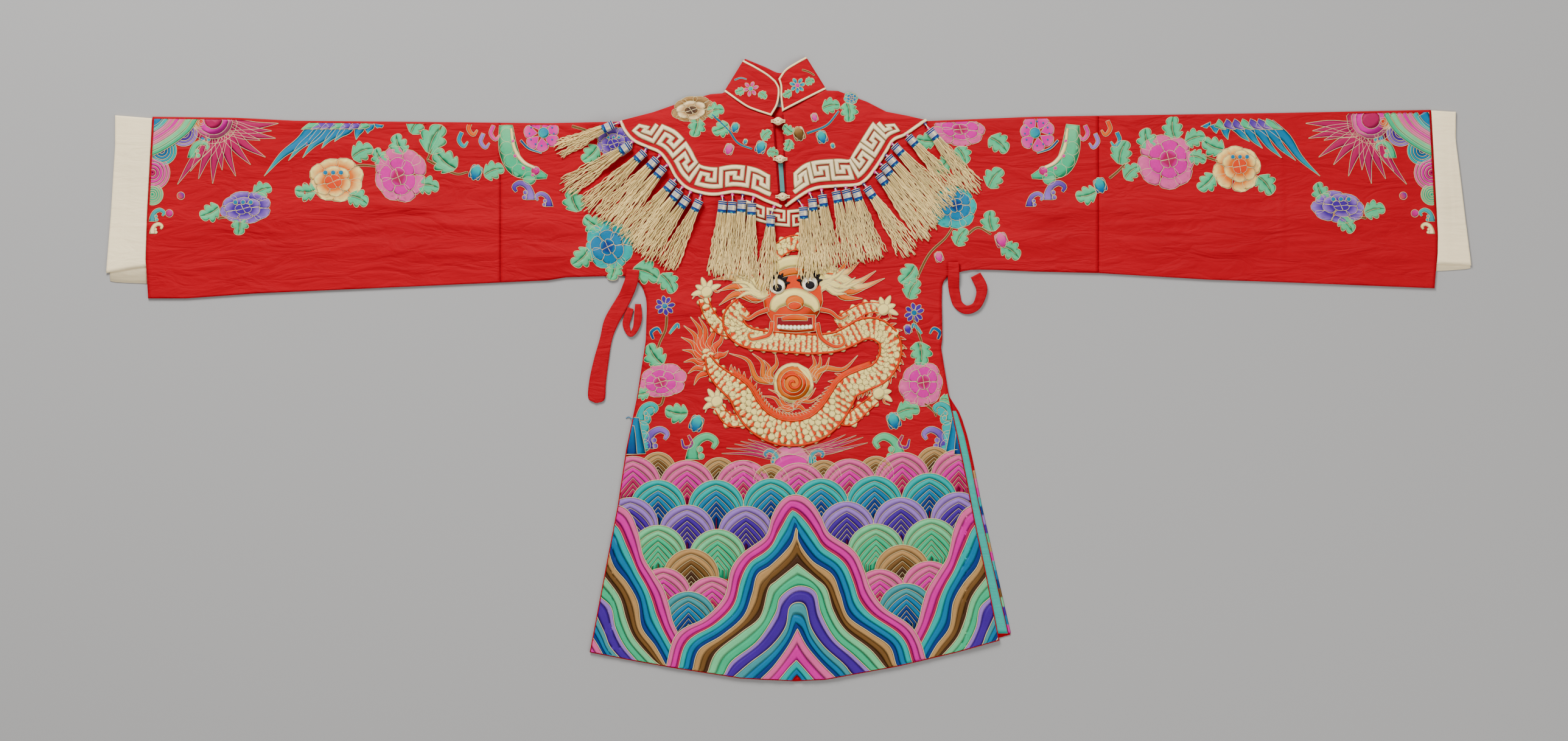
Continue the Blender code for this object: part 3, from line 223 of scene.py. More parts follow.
# Shader groups: each puts out a colour, a roughness and a normal


def nodeGroup(name, inputs, outputs):
    group = bpy.data.node_groups.new(name, "ShaderNodeTree")
    for label, kind, value in inputs:
        socket = group.interface.new_socket(label, in_out="INPUT", socket_type=kind)
        if value is not None:
            socket.default_value = value
    for label, kind in outputs:
        group.interface.new_socket(label, in_out="OUTPUT", socket_type=kind)
    return group, group.nodes.new("NodeGroupInput"), group.nodes.new("NodeGroupOutput")


def addNode(tree, kind, settings=None, **values):
    node = tree.nodes.new("ShaderNode" + kind)
    for key, value in (settings or {}).items():
        setattr(node, key, value)
    for key, value in values.items():
        node.inputs[key.replace("_", " ")].default_value = value
    return node


def shadeColour(tree, colour, factor, low, high):
    # Multiplies a colour by a value that runs from low to high with the factor
    span = addNode(tree, "MapRange", To_Min=low, To_Max=high)
    tree.links.new(factor, span.inputs["Value"])
    scale = addNode(tree, "VectorMath", {"operation": "SCALE"})
    tree.links.new(colour, scale.inputs[0])
    tree.links.new(span.outputs["Result"], scale.inputs["Scale"])
    return scale.outputs["Vector"]


def wovenGroup():
    # Plain or satin weave: slow shade, slubs along the threads and a fine over and under relief
    group, start, end = nodeGroup(
        "wovenCloth",
        [("Vector", "NodeSocketVector", None), ("Colour", "NodeSocketColor", (1, 1, 1, 1)),
         ("Thread", "NodeSocketFloat", 900.0), ("Slub", "NodeSocketFloat", 0.1),
         ("Rough", "NodeSocketFloat", 0.5), ("Relief", "NodeSocketFloat", 0.1),
         ("Wrinkle", "NodeSocketFloat", 0.2)],
        [("Colour", "NodeSocketColor"), ("Roughness", "NodeSocketFloat"), ("Normal", "NodeSocketVector")])
    link = group.links.new
    slow = addNode(group, "TexNoise", Scale=7.0, Detail=4.0)
    link(start.outputs["Vector"], slow.inputs["Vector"])
    stretch = addNode(group, "Mapping", Scale=(18.0, 240.0, 18.0))
    link(start.outputs["Vector"], stretch.inputs["Vector"])
    slub = addNode(group, "TexNoise", Scale=1.0, Detail=3.0)
    link(stretch.outputs["Vector"], slub.inputs["Vector"])
    shaded = shadeColour(group, start.outputs["Colour"], slow.outputs["Fac"], 0.88, 1.12)
    low = addNode(group, "Math", {"operation": "SUBTRACT"})
    high = addNode(group, "Math", {"operation": "ADD"})
    for node in (low, high):
        node.inputs[0].default_value = 1.0
        link(start.outputs["Slub"], node.inputs[1])
    span = addNode(group, "MapRange")
    link(slub.outputs["Fac"], span.inputs["Value"])
    link(low.outputs[0], span.inputs["To Min"])
    link(high.outputs[0], span.inputs["To Max"])
    scale = addNode(group, "VectorMath", {"operation": "SCALE"})
    link(shaded, scale.inputs[0])
    link(span.outputs["Result"], scale.inputs["Scale"])
    link(scale.outputs["Vector"], end.inputs["Colour"])
    rough = addNode(group, "MapRange", To_Min=-0.07, To_Max=0.07)
    link(slow.outputs["Fac"], rough.inputs["Value"])
    total = addNode(group, "Math", {"operation": "ADD"})
    link(rough.outputs["Result"], total.inputs[0])
    link(start.outputs["Rough"], total.inputs[1])
    link(total.outputs[0], end.inputs["Roughness"])
    heights = []
    for direction in ("X", "Y"):
        wave = addNode(group, "TexWave", {"wave_type": "BANDS", "bands_direction": direction}, Distortion=0.6)
        link(start.outputs["Vector"], wave.inputs["Vector"])
        link(start.outputs["Thread"], wave.inputs["Scale"])
        heights.append(wave.outputs["Fac"])
    weave = addNode(group, "Math", {"operation": "MULTIPLY"})
    link(heights[0], weave.inputs[0])
    link(heights[1], weave.inputs[1])
    bump = addNode(group, "Bump", Distance=0.0006)
    link(weave.outputs[0], bump.inputs["Height"])
    link(start.outputs["Relief"], bump.inputs["Strength"])
    # Fine creases: a drawn out noise folded about its middle
    drawn = addNode(group, "Mapping", Scale=(11.0, 38.0, 11.0))
    link(start.outputs["Vector"], drawn.inputs["Vector"])
    noise = addNode(group, "TexNoise", Scale=1.0, Detail=4.0, Distortion=0.7)
    link(drawn.outputs["Vector"], noise.inputs["Vector"])
    centred = addNode(group, "Math", {"operation": "SUBTRACT"})
    centred.inputs[1].default_value = 0.5
    link(noise.outputs["Fac"], centred.inputs[0])
    folded = addNode(group, "Math", {"operation": "ABSOLUTE"})
    link(centred.outputs[0], folded.inputs[0])
    wrinkle = addNode(group, "Bump", Distance=0.012)
    link(folded.outputs[0], wrinkle.inputs["Height"])
    link(start.outputs["Wrinkle"], wrinkle.inputs["Strength"])
    link(bump.outputs["Normal"], wrinkle.inputs["Normal"])
    link(wrinkle.outputs["Normal"], end.inputs["Normal"])
    return group


def stitchGroup():
    # Laid threads: streaks along the stitch map that carry thread-to-thread tone and painted sheen, a slow shade
    # and thread relief
    group, start, end = nodeGroup(
        "laidThreads",
        [("Map", "NodeSocketVector", None), ("Place", "NodeSocketVector", None),
         ("Colour", "NodeSocketColor", (1, 1, 1, 1)), ("Relief", "NodeSocketFloat", 0.4)],
        [("Colour", "NodeSocketColor"), ("Roughness", "NodeSocketFloat"), ("Normal", "NodeSocketVector")])
    link = group.links.new
    stretch = addNode(group, "Mapping", Scale=(0.25, 3.2, 1.0))
    link(start.outputs["Map"], stretch.inputs["Vector"])
    toneAndSheenStreak = addNode(group, "TexNoise", Scale=1.0, Detail=3.0)
    link(stretch.outputs["Vector"], toneAndSheenStreak.inputs["Vector"])
    slow = addNode(group, "TexNoise", Scale=55.0, Detail=2.0)
    link(start.outputs["Place"], slow.inputs["Vector"])
    # The streaks lighten and darken the thread colour: partly each thread's own tone, partly painted sheen along
    # the threads
    shaded = shadeColour(group, start.outputs["Colour"], toneAndSheenStreak.outputs["Fac"], 0.74, 1.26)
    shaded = shadeColour(group, shaded, slow.outputs["Fac"], 0.86, 1.14)
    link(shaded, end.inputs["Colour"])
    rough = addNode(group, "MapRange", To_Min=0.36, To_Max=0.62)
    link(toneAndSheenStreak.outputs["Fac"], rough.inputs["Value"])
    link(rough.outputs["Result"], end.inputs["Roughness"])
    bump = addNode(group, "Bump", Distance=0.0005)
    link(toneAndSheenStreak.outputs["Fac"], bump.inputs["Height"])
    link(start.outputs["Relief"], bump.inputs["Strength"])
    link(bump.outputs["Normal"], end.inputs["Normal"])
    return group


palette = {
    "red": "CC0042", "deepRed": "980034", "cream": "ECDCB8", "cord": "C9BC9C", "keyCream": "EADDBC",
    "keyEdge": "94836A", "cotton": "FFF2D4", "turquoiseSilk": "40BEB2", "placket": "6C9C9A", "fringe": "F0DCA8",
    "lightPink": "F78CC0", "hotPink": "EE1CC0", "magenta": "C00078", "turquoise": "10BCB8", "blue": "1090B0",
    "navy": "124E86", "tan": "C8A87A", "brown": "7C6138", "darkBrown": "4A331C", "paleGreen": "96DEB0",
    "green": "50CAA0", "lilac": "B898D8", "purple": "642CA0", "orange": "FF7200", "softOrange": "FFA030",
    "scale": "E8DA9C", "white": "F6F1E2", "black": "1A1418", "greyTeal": "5FA4A8", "headBlue": "1A5A9C"}
pale = ("cream", "cord", "keyCream", "keyEdge", "cotton", "fringe", "scale", "white")
deep = ("red", "deepRed", "navy", "headBlue", "purple", "black")


def tint(name):
    # Linear colour, deepened as top * (c / top) ** 1.6 against the camera's soft view curve
    value = np.array([int(palette[name][k:k + 2], 16) for k in (0, 2, 4)]) / 255.0
    linear = np.where(value < 0.04045, value / 12.92, ((value + 0.055) / 1.055) ** 2.4)
    top = linear.max()
    return top * (linear / top) ** 1.6 * (1.0 if name in pale else 0.58 if name in deep else 0.60)


def newMaterial(name, group, sheen, specular):
    material = bpy.data.materials.new(name)
    material.use_nodes = True
    tree = material.node_tree
    shader = tree.nodes["Principled BSDF"]
    shader.inputs["Sheen Weight"].default_value = sheen
    shader.inputs["Sheen Roughness"].default_value = 0.4
    shader.inputs["Specular IOR Level"].default_value = specular
    effect = tree.nodes.new("ShaderNodeGroup")
    effect.node_tree = group
    for out, into in (("Colour", "Base Color"), ("Roughness", "Roughness"), ("Normal", "Normal")):
        tree.links.new(effect.outputs[out], shader.inputs[into])
    place = tree.nodes.new("ShaderNodeTexCoord")
    return material, tree, effect, place


def wovenMaterial(name, colour, thread, slub, rough, relief, wrinkle, sheen, specular):
    material, tree, effect, place = newMaterial(name, groups["woven"], sheen, specular)
    tree.links.new(place.outputs["Object"], effect.inputs["Vector"])
    effect.inputs["Colour"].default_value = (*tint(colour), 1.0)
    settings = {"Thread": thread, "Slub": slub, "Rough": rough, "Relief": relief, "Wrinkle": wrinkle}
    for key, value in settings.items():
        effect.inputs[key].default_value = value
    return material


def stitchedMaterial(name, relief, sheen):
    material, tree, effect, place = newMaterial(name, groups["stitch"], sheen, 0.16)
    paint = addNode(tree, "VertexColor", {"layer_name": "thread"})
    tree.links.new(paint.outputs["Color"], effect.inputs["Colour"])
    tree.links.new(place.outputs["UV"], effect.inputs["Map"])
    tree.links.new(place.outputs["Object"], effect.inputs["Place"])
    effect.inputs["Relief"].default_value = relief
    return material


groups = {"woven": wovenGroup(), "stitch": stitchGroup()}
materials = {
    "silk": wovenMaterial("redSatinSilk", "red", thread=700.0, slub=0.12, rough=0.40, relief=0.30,
                          wrinkle=0.48, sheen=0.0, specular=0.05),
    "cotton": wovenMaterial("creamCuffCotton", "cotton", thread=420.0, slub=0.10, rough=0.80, relief=0.45,
                            wrinkle=0.25, sheen=0.10, specular=0.2),
    "turquoise": wovenMaterial("turquoiseFacingSilk", "turquoiseSilk", thread=600.0, slub=0.08, rough=0.50,
                               relief=0.25, wrinkle=0.3, sheen=0.0, specular=0.3),
    "placket": wovenMaterial("greyTealStrip", "placket", thread=600.0, slub=0.08, rough=0.60, relief=0.25,
                             wrinkle=0.2, sheen=0.0, specular=0.3),
    "stitch": stitchedMaterial("embroideryFloss", relief=0.5, sheen=0.0),
    "couched": stitchedMaterial("couchedCord", relief=0.7, sheen=0.0),
    "tassel": stitchedMaterial("tasselThread", relief=0.6, sheen=0.20)}
print("materials ready")

# Meshes


def finish(piece, nodes, material):
    piece.data.materials.append(materials[material])
    bpy.context.scene.collection.objects.link(piece)
    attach(piece, "root")
    if nodes:
        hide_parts(*nodes)
    return piece


def quadGrid(rows, cols, start):
    j, i = np.meshgrid(np.arange(rows - 1), np.arange(cols - 1), indexing="ij")
    a = start + j * cols + i
    return np.stack([a, a + 1, a + cols + 1, a + cols], axis=-1).reshape(-1, 4)


def ringQuads(rings, around, closed=False):
    # Faces between rings of points; closed joins the last ring to the first
    i = np.arange(rings if closed else rings - 1)[:, None]
    j = np.arange(around)[None, :]
    nextI, nextJ = (i + 1) % rings, (j + 1) % around
    corners = [i * around + j, i * around + nextJ, nextI * around + nextJ, nextI * around + j]
    return np.stack(corners, axis=-1).reshape(-1, 4)


def clothPanel(name, grids, height, thickness, material, nodes):
    # Plan grids raised to a height function, joined where they share points, and given a wall below
    points, faces, start = [], [], 0
    for grid in grids:
        rows, cols = grid.shape[:2]
        z = height(grid[..., 0], grid[..., 1]) if grid.shape[2] == 2 else grid[..., 2]
        points.append(np.dstack([grid[..., :2], z]).reshape(-1, 3))
        faces.append(quadGrid(rows, cols, start))
        start += rows * cols
    mesh = bpy.data.meshes.new(name)
    mesh.from_pydata((np.vstack(points) * mm).tolist(), [], np.vstack(faces).tolist())
    tidy = bmesh.new()
    tidy.from_mesh(mesh)
    bmesh.ops.remove_doubles(tidy, verts=tidy.verts, dist=0.02 * mm)
    if sum(face.normal.z * face.calc_area() for face in tidy.faces) < 0 and grids[0].shape[2] == 2:
        bmesh.ops.reverse_faces(tidy, faces=tidy.faces)
    tidy.to_mesh(mesh)
    tidy.free()
    mesh.shade_smooth()
    piece = bpy.data.objects.new(name, mesh)
    wall = piece.modifiers.new("wall", "SOLIDIFY")
    wall.thickness = thickness * mm
    wall.offset = -1.0
    return finish(piece, nodes, material)


def bodyGrids(side, hemUp, neckDip, trunkCols, rows):
    # Upper arms and trunk in one, then the skirt from the armpits to the hem
    left, right = cloth["armpitLeft"], cloth["armpitRight"]
    share = np.linspace(0.0, 1.0, trunkCols)
    trunk = left[0] + (right[0] - left[0]) * share
    armLeft = np.linspace(cloth["seamLeft"], left[0], trunkCols // 2)[:-1]
    armRight = np.linspace(right[0], cloth["seamRight"], trunkCols // 2)[1:]
    x = np.concatenate([armLeft, trunk, armRight])
    low = np.concatenate([readEdge("sleeveLow", armLeft), left[1] + (right[1] - left[1]) * share,
                          readEdge("sleeveLow", armRight)])
    dip = neckDip * smooth((88.0 - np.abs(x - cloth["neckX"])) / 60.0)
    rise = np.linspace(0.0, 1.0, rows // 2)[:, None]
    y = low + (readEdge("shoulder", x) - low) * rise - dip * smooth((rise - 0.6) / 0.4)
    upper = np.dstack([x + 0.0 * rise, y])
    fall = (np.linspace(0.0, 1.0, rows) ** 1.15)[:, None]
    leftY = left[1] + (-419.0 + hemUp - left[1]) * fall
    rightY = right[1] + (edges[side][0, 0] + hemUp - right[1]) * fall
    leftX, rightX = readEdge("sideLeft", leftY), readEdge(side, rightY)
    skirtX = leftX + (rightX - leftX) * share
    skirtY = leftY + (rightY - leftY) * share
    skirtY = skirtY + (readEdge("hem", skirtX[-1]) + hemUp - skirtY[-1]) * fall ** 1.5
    return [upper, np.dstack([skirtX, skirtY])[::-1]]


body = {"frontFlat": (0.90, 0.86), "frontArea": 0.505, "backFlat": (0.90, 0.86), "backArea": 0.52,
        "columns": 85, "rows": 134, "neckDip": 40.0, "backColumns": 41, "backRows": 50, "backNeckDip": 8.0,
        "backHemUp": 4.0}
front = clothPanel("robeFront", bodyGrids("sideRight", 0.0, body["neckDip"], body["columns"], body["rows"]),
                   robeTop, cloth["sheet"], "silk", ["body_front"])
backGrids = bodyGrids("sideRightBack", body["backHemUp"], body["backNeckDip"], body["backColumns"],
                      body["backRows"])
back = clothPanel("robeBack", backGrids, lambda x, y: capeLift(x, y) + cloth["wall"], cloth["wall"],
                  "silk", ["body_back"])


def foldedTube(x, top, lowFront, lowBack, relief, shift, rows):
    # Back layer up, half round fold, front layer down; the relief fades at both edges
    radius = cloth["wall"] + cloth["layerGap"] * 0.5
    up = np.linspace(0.0, 1.0, 6)[:, None]
    turn = np.linspace(-np.pi / 2, np.pi / 2, 7)[1:-1, None]
    down = np.linspace(1.0, 0.0, rows)[:, None]
    crest = top - 0.9 * radius
    backY = lowBack + (crest - lowBack) * up
    foldY = crest + radius * np.cos(turn)
    frontY = lowFront + (crest - lowFront) * down
    y = np.vstack([backY, foldY, frontY])
    xx = shift(x + 0.0 * y, y)
    z = np.vstack([0.0 * backY, radius + radius * np.sin(turn) + 0.0 * foldY,
                   2 * radius + 0.0 * frontY])
    z[-rows:] += relief(xx[-rows:], y[-rows:]) * np.sqrt(np.sin(np.pi * np.clip(down, 0.0, 1.0)))
    return np.dstack([xx, y, z])[::-1]


def slideTo(seam, last, end):
    # Moves the rings near the open end until the last one lies on the end's edge
    return lambda x, y: x + (readEdge(end, y) - last) * np.clip((x - seam) / (last - seam), 0.0, 1.0) ** 3


sleeves = {"columns": 106, "rows": 92, "flat": (0.53, 0.53), "area": 0.262}
for side, seam, last in (("Left", -426.35, -944.0), ("Right", 457.85, 954.0)):
    along = np.linspace(min(seam, last), max(seam, last), sleeves["columns"])
    low = readEdge("sleeveLow", along)
    tube = foldedTube(along, readEdge("shoulder", along), low, low,
                      lambda x, y: ridges(folds, x, y) + crumple(x, y),
                      slideTo(seam, last, "sleeveEnd" + side), sleeves["rows"])
    piece = clothPanel("sleeve" + side, [tube], None, cloth["sheet"], "silk",
                       ["sleeve_" + side.lower()])


def cuffGrid(side, order):
    # The cuff between the sleeve's end and its own, with soft creases down the cotton
    share = np.linspace(0.0, 1.0, 22)
    x = (940.0 + 55.0 * share) * order

    def shift(xx, y):
        near = readEdge("sleeveEnd" + side, y) + 0.7 * order
        return near + (readEdge("cuffEnd" + side, y) - near) * share

    def relief(xx, y):
        ridge = 1.6 * np.exp(-((np.abs(xx) - 967.0 + (y - 260.0) * 0.04) / 11.0) ** 2)
        fine = 0.5 * np.exp(-((np.abs(xx) - 984.0 + (y - 240.0) * 0.06) / 3.0) ** 2)
        return ridge + fine + 0.25 * np.sin(y / 26.0 + xx / 9.0) * np.sin(xx / 7.0)

    return foldedTube(x, readEdge("cuffTop" + side, x), readEdge("cuffFrontLow" + side, x),
                      readEdge("cuffBackLow" + side, x), relief, shift, 44)


for side, order in (("Left", -1.0), ("Right", 1.0)):
    grid = cuffGrid(side, order)
    grid = grid[:, ::-1] if order < 0 else grid
    piece = clothPanel("cuff" + side, [grid], None, 1.0, "cotton", ["cuff_" + side.lower()])
print("body, sleeves and cuffs laid")


def capeGrid(side, tipX, frontX, cols, rows):
    share = np.linspace(0.0, 1.0, cols)
    x = tipX + (frontX - tipX) * share
    low = readEdge("capeLow" + side, x)
    ends = x + (readEdge("capeFront" + side, capeEdge(x)) - frontX) * share ** 8
    top = np.maximum(capeEdge(ends), low + 2.0)
    y = low + (top - low) * np.linspace(0.0, 1.0, rows)[:, None]
    return np.dstack([x + (readEdge("capeFront" + side, y) - frontX) * share ** 8, y])


cape = {"columns": 66, "rows": 44, "flat": (0.24, 0.17), "area": 0.0262}
for side, tipX, frontX in (("Left", -247.5, -16.5), ("Right", 202.5, -7.0)):
    grid = capeGrid(side, tipX, frontX, cape["columns"], cape["rows"])
    piece = clothPanel("cape" + side, [grid], capeTop, cloth["sheet"], "silk",
                       ["cape_" + side.lower()])
backX = np.linspace(-244.0, 199.0, 34)
backLow = np.where(backX < -7.0, readEdge("capeLowLeft", backX), readEdge("capeLowRight", backX))
backTop = np.where(np.abs(backX - cloth["neckX"]) < 82.0, 387.0, np.minimum(capeEdge(backX), 398.0) - 1.0)
rise = np.linspace(0.0, 1.0, 12)[:, None]
piece = clothPanel("capeBack", [np.dstack([backX + 0.0 * rise, backLow + (backTop - backLow) * rise])],
                   lambda x, y: cloth["wall"] + 0.0 * x, cloth["sheet"], "silk", ["cape_back"])


def coons(low, top, left, right):
    # A patch between four edge curves
    v = np.linspace(0.0, 1.0, len(left))[:, None, None]
    u = np.linspace(0.0, 1.0, len(low))[None, :, None]
    corners = low[0] * (1 - u) * (1 - v) + low[-1] * u * (1 - v) + top[0] * (1 - u) * v + top[-1] * u * v
    return low[None] * (1 - v) + top[None] * v + left[:, None] * (1 - u) + right[:, None] * u - corners


curves = {name: evenCurve(points, 22) for name, points in collarCurves.items()}
leftEnd = evenCurve([collarCurves["leftLow"][0], collarCurves["leftTop"][0]], 22)
rightEnd = evenCurve([collarCurves["rightLow"][-1], collarCurves["rightTop"][-1]], 22)
collarGrids = {
    "Left": coons(curves["leftLow"], curves["leftTop"], leftEnd, curves["leftFront"]),
    "Right": coons(curves["rightLow"], curves["rightTop"], curves["rightFront"], rightEnd),
    "Back": coons(curves["backLow"], curves["backTop"],
                  evenCurve([collarCurves["backLow"][0], collarCurves["backTop"][0]], 22),
                  evenCurve([collarCurves["backLow"][-1], collarCurves["backTop"][-1]], 22))}
for side, grid in collarGrids.items():
    height = collarTop if side != "Back" else lambda x, y: 2.0 + 0.0 * x
    piece = clothPanel("collar" + side, [grid], height, 1.9, "silk", ["collar_" + side.lower()])
    flat, area = ((0.12, 0.06), 0.0052) if side == "Back" else ((0.09, 0.06), 0.0034)
print("cape and collar laid")

# Needlework: stitch patches and cords gathered into one mesh


class Needlework:
    def __init__(self, surface, clip=None):
        self.surface, self.clip, self.count = surface, clip, 0
        self.points, self.faces, self.colours, self.maps, self.flat = [], [], [], [], []

    def patch(self, plan, colour, puff=0.5, lift=0.15, ring=False, along=True, checked=False):
        # Rings of points across the patch, crowned between its edges, closed below by one strip
        n, m = plan.shape[:2]
        rim = np.concatenate([plan[:, 0], plan[::-1, -1]])
        area = np.sum(rim[:, 0] * np.roll(rim[:, 1], -1) - rim[:, 1] * np.roll(rim[:, 0], -1))
        colour = np.broadcast_to(colour, (n, m, 3))
        lift = np.broadcast_to(lift, (n, m))
        if not checked and area > 0:
            plan, colour, lift = plan[:, ::-1], colour[:, ::-1], lift[:, ::-1]
        t = np.linspace(0.0, 1.0, m)[None, :]
        crown = np.sqrt(np.clip(4 * t * (1 - t), 0.0, 1.0))
        if not ring:
            s = np.linspace(0.0, 1.0, n)[:, None]
            crown = crown * np.sqrt(np.clip(12 * s * (1 - s), 0.0, 1.0))
        step = np.linalg.norm(np.diff(plan[:, m // 2], axis=0), axis=1).mean() if n > 1 else 1.0
        width = np.linalg.norm(plan[n // 2, -1] - plan[n // 2, 0])
        u, v = np.meshgrid(np.arange(n) * step, np.linspace(0, width, m), indexing="ij")
        if self.clip:
            plan = self.clip(plan)
        z = self.surface(plan[..., 0], plan[..., 1]) + lift + puff * crown
        z[:, [0, -1]] -= 0.05
        quads = ringQuads(n, m, ring)
        # A patch is flat below and at its ends, so that it isn't shaded like a ball; a cord stays round
        if not checked:
            self.flat += (len(self.faces) + np.arange(len(quads) // m) * m + m - 1).tolist()
        if not ring:
            self.flat += [len(self.faces) + len(quads), len(self.faces) + len(quads) + 1]
        self.faces += (quads + self.count).tolist()
        if not ring:
            self.faces += [(self.count + np.arange(m)[::-1]).tolist(),
                           (self.count + (n - 1) * m + np.arange(m)).tolist()]
        self.points.append(np.dstack([plan, z]).reshape(-1, 3))
        self.colours.append(colour.reshape(-1, 3))
        self.maps.append(np.dstack([u, v] if along else [v, u]).reshape(-1, 2))
        self.count += n * m

    def cord(self, path, colour, width=1.2, height=0.5, lift=0.2, ring=False):
        # A half round cord laid along a plan path
        run = np.roll(path, -1, axis=0) - np.roll(path, 1, axis=0) if ring else np.gradient(path, axis=0)
        run = run / np.maximum(np.linalg.norm(run, axis=1), 1e-9)[:, None]
        half = np.column_stack([-run[:, 1], run[:, 0]]) * (np.zeros(len(path)) + width)[:, None] * 0.5
        plan = np.stack([path + half, path, path - half], axis=1)
        self.patch(plan, colour, height, lift, ring, True, True)

    def make(self, name, material, nodes=()):
        mesh = bpy.data.meshes.new(name)
        mesh.from_pydata((np.vstack(self.points) * mm).tolist(), [], self.faces)
        rounded = np.ones(len(self.faces), dtype=bool)
        rounded[self.flat] = False
        mesh.polygons.foreach_set("use_smooth", rounded)
        paint = mesh.color_attributes.new("thread", "FLOAT_COLOR", "POINT")
        colours = np.vstack(self.colours)
        paint.data.foreach_set("color", np.column_stack([colours, np.ones(len(colours))]).ravel())
        stitchMap = mesh.uv_layers.new(name="stitchMap")
        corner = np.zeros(len(mesh.loops), dtype=np.int32)
        mesh.loops.foreach_get("vertex_index", corner)
        stitchMap.data.foreach_set("uv", np.vstack(self.maps)[corner].astype(np.float32).ravel())
        if self.clip:
            tidy = bmesh.new()
            tidy.from_mesh(mesh)
            bmesh.ops.dissolve_degenerate(tidy, dist=0.01 * mm, edges=tidy.edges)
            tidy.to_mesh(mesh)
            tidy.free()
        piece = bpy.data.objects.new(name, mesh)
        return finish(piece, nodes, material)


def between(left, right, steps):
    # A plan grid from one edge curve to another
    t = np.linspace(0.0, 1.0, steps)[None, :, None]
    return left[:, None] * (1 - t) + right[:, None] * t


def band(path, steps):
    # A plan grid about a path whose third column is its width
    half = leftOf(path) * path[:, 2:3] * 0.5
    return between(path[:, :2] + half, path[:, :2] - half, steps)


def ribbon(path, width, steps=4, side=0.0):
    # A plan grid of even or changing width about a path, pushed to one side
    run = np.diff(path, axis=0)
    run = run / np.linalg.norm(run, axis=1)[:, None]
    left = np.column_stack([-run[:, 1], run[:, 0]])
    mitre = np.vstack([left[:1], left]) + np.vstack([left, left[-1:]])
    before = np.vstack([left[:1], left])
    mitre = mitre / np.maximum(np.sum(mitre * before, axis=1), 0.45)[:, None]
    half = (np.zeros(len(path)) + width)[:, None] * 0.5
    centre = path + mitre * side
    return between(centre + mitre * half, centre - mitre * half, steps)


# Bindings, key borders and strips


def meander(units):
    # Corners of a double hook key, across in units and up as a share of the band
    unit = np.array([(-0.10, 0.11), (-0.10, 0.89), (0.675, 0.89), (0.675, 0.39), (0.415, 0.39),
                     (0.415, 0.61), (0.14, 0.61), (0.14, 0.11)])
    return (unit[None] + np.array([(k, 0.0) for k in range(units)])[:, None]).reshape(-1, 2)


def keyPath(edge, inward):
    # The meander in a band inside the edge; the band narrows to the cape's tip
    flat = np.vstack([meander(6)[2:], [(5.8, 0.12)]])
    corners = np.arange(len(flat))
    fine = np.sort(np.concatenate([corners + part for part in (0.0, 0.07, 0.3, 0.5, 0.7, 0.93)]))
    fine = fine[fine <= corners[-1]]
    across, up = np.interp(fine, corners, flat[:, 0]), np.interp(fine, corners, flat[:, 1])
    number = np.arange(len(edge))
    window = np.hanning(19)[1:-1]
    soft = np.column_stack([np.convolve(np.pad(k * inward, 8, mode="edge"), window, "valid")
                            for k in leftOf(edge).T])
    upright = smooth((number / number[-1] - 0.72) / 0.25)[:, None]
    soft = soft / np.linalg.norm(soft, axis=1)[:, None] * (1.0 - upright) + np.array([0.0, 1.0]) * upright
    room = (readEdge("shoulder", edge[:, 0]) - edge[:, 1]) / np.maximum(soft[:, 1], 0.2)
    width = np.clip(room - 10.0, 12.0, 32.5)
    middle = edge + soft * (10.0 + 0.5 * width)[:, None]
    length = np.concatenate([[0.0], np.cumsum(np.hypot(*np.diff(middle, axis=0).T))])
    third = len(width) // 3
    start = np.interp(17.0, width[:third], length[:third])
    place = start + (length[-1] * 0.97 - start) * across / 6.0

    def onBand(distance):
        at = np.interp(distance, length, number)
        base = np.column_stack([np.interp(at, number, k) for k in edge.T])
        turn = np.column_stack([np.interp(at, number, k) for k in soft.T])
        return base + turn * (10.0 + np.interp(at, number, width) * up)[:, None]

    stretch = np.hypot(*(onBand(place + 4.0) - onBand(place - 4.0)).T) / 8.0
    narrow = np.interp(np.interp(place, length, number), number, width) / 32.5
    return onBand(place), 6.8 * np.clip(np.minimum(stretch, narrow * 1.05), 0.42, 1.0)


def layKeys(work, path, width, lift):
    # Padded cream band with a brown couched line at each edge
    work.patch(ribbon(path, width, 5), tint("keyCream"), 1.3, lift, along=False)
    for sign in (-1.0, 1.0):
        edgeLine = ribbon(path, width, 2)[:, 0 if sign > 0 else 1]
        work.cord(edgeLine, tint("keyEdge"), 1.0, 0.6, lift + 0.2)


trim = {"bindingWidth": 4.4, "bindingPuff": 1.1}
for side, order in (("Left", 1.0), ("Right", -1.0)):
    low = edges["capeLow" + side]
    edge = evenCurve(low if order > 0 else low[::-1], 44)
    keys, width = keyPath(edge, order)
    work = Needlework(capeTop)
    layKeys(work, keys, width, 0.3)
    work.make("keyBorder" + side, "couched", ["key_border_" + side.lower()])
    work = Needlework(capeTop)
    outer = evenCurve(edge, 120)
    work.patch(ribbon(outer, trim["bindingWidth"], 5, order * 1.9), tint("cream"), trim["bindingPuff"], 0.25)
    work.cord(outer[2:-2] + leftOf(outer)[2:-2] * order * 4.3, tint("cord"), 0.7, 0.2, 0.25)
    strip = evenCurve(edges["capeFront" + side][:, ::-1], 30)
    work.cord(strip + leftOf(strip) * 1.2 * order, tint("deepRed"), 1.6, 0.5, 0.1)
    work.make("capeBinding" + side, "couched", ["cape_binding_" + side.lower()])

neckBand = {"half": 61.0, "low": 209.5, "height": 26.0, "bow": 0.0038, "width": 4.6}
flat = np.vstack([meander(4), [(3.8, 0.12)]])
bandX = neckBand["half"] * (2.0 * (flat[:, 0] + 0.1) / 4.0 - 1.0)
bandY = neckBand["low"] + flat[:, 1] * neckBand["height"] + neckBand["bow"] * bandX ** 2
work = Needlework(robeTop)
layKeys(work, np.column_stack([bandX, bandY]), neckBand["width"], 0.3)
work.make("neckKeyBand", "couched", ["neck_band"])

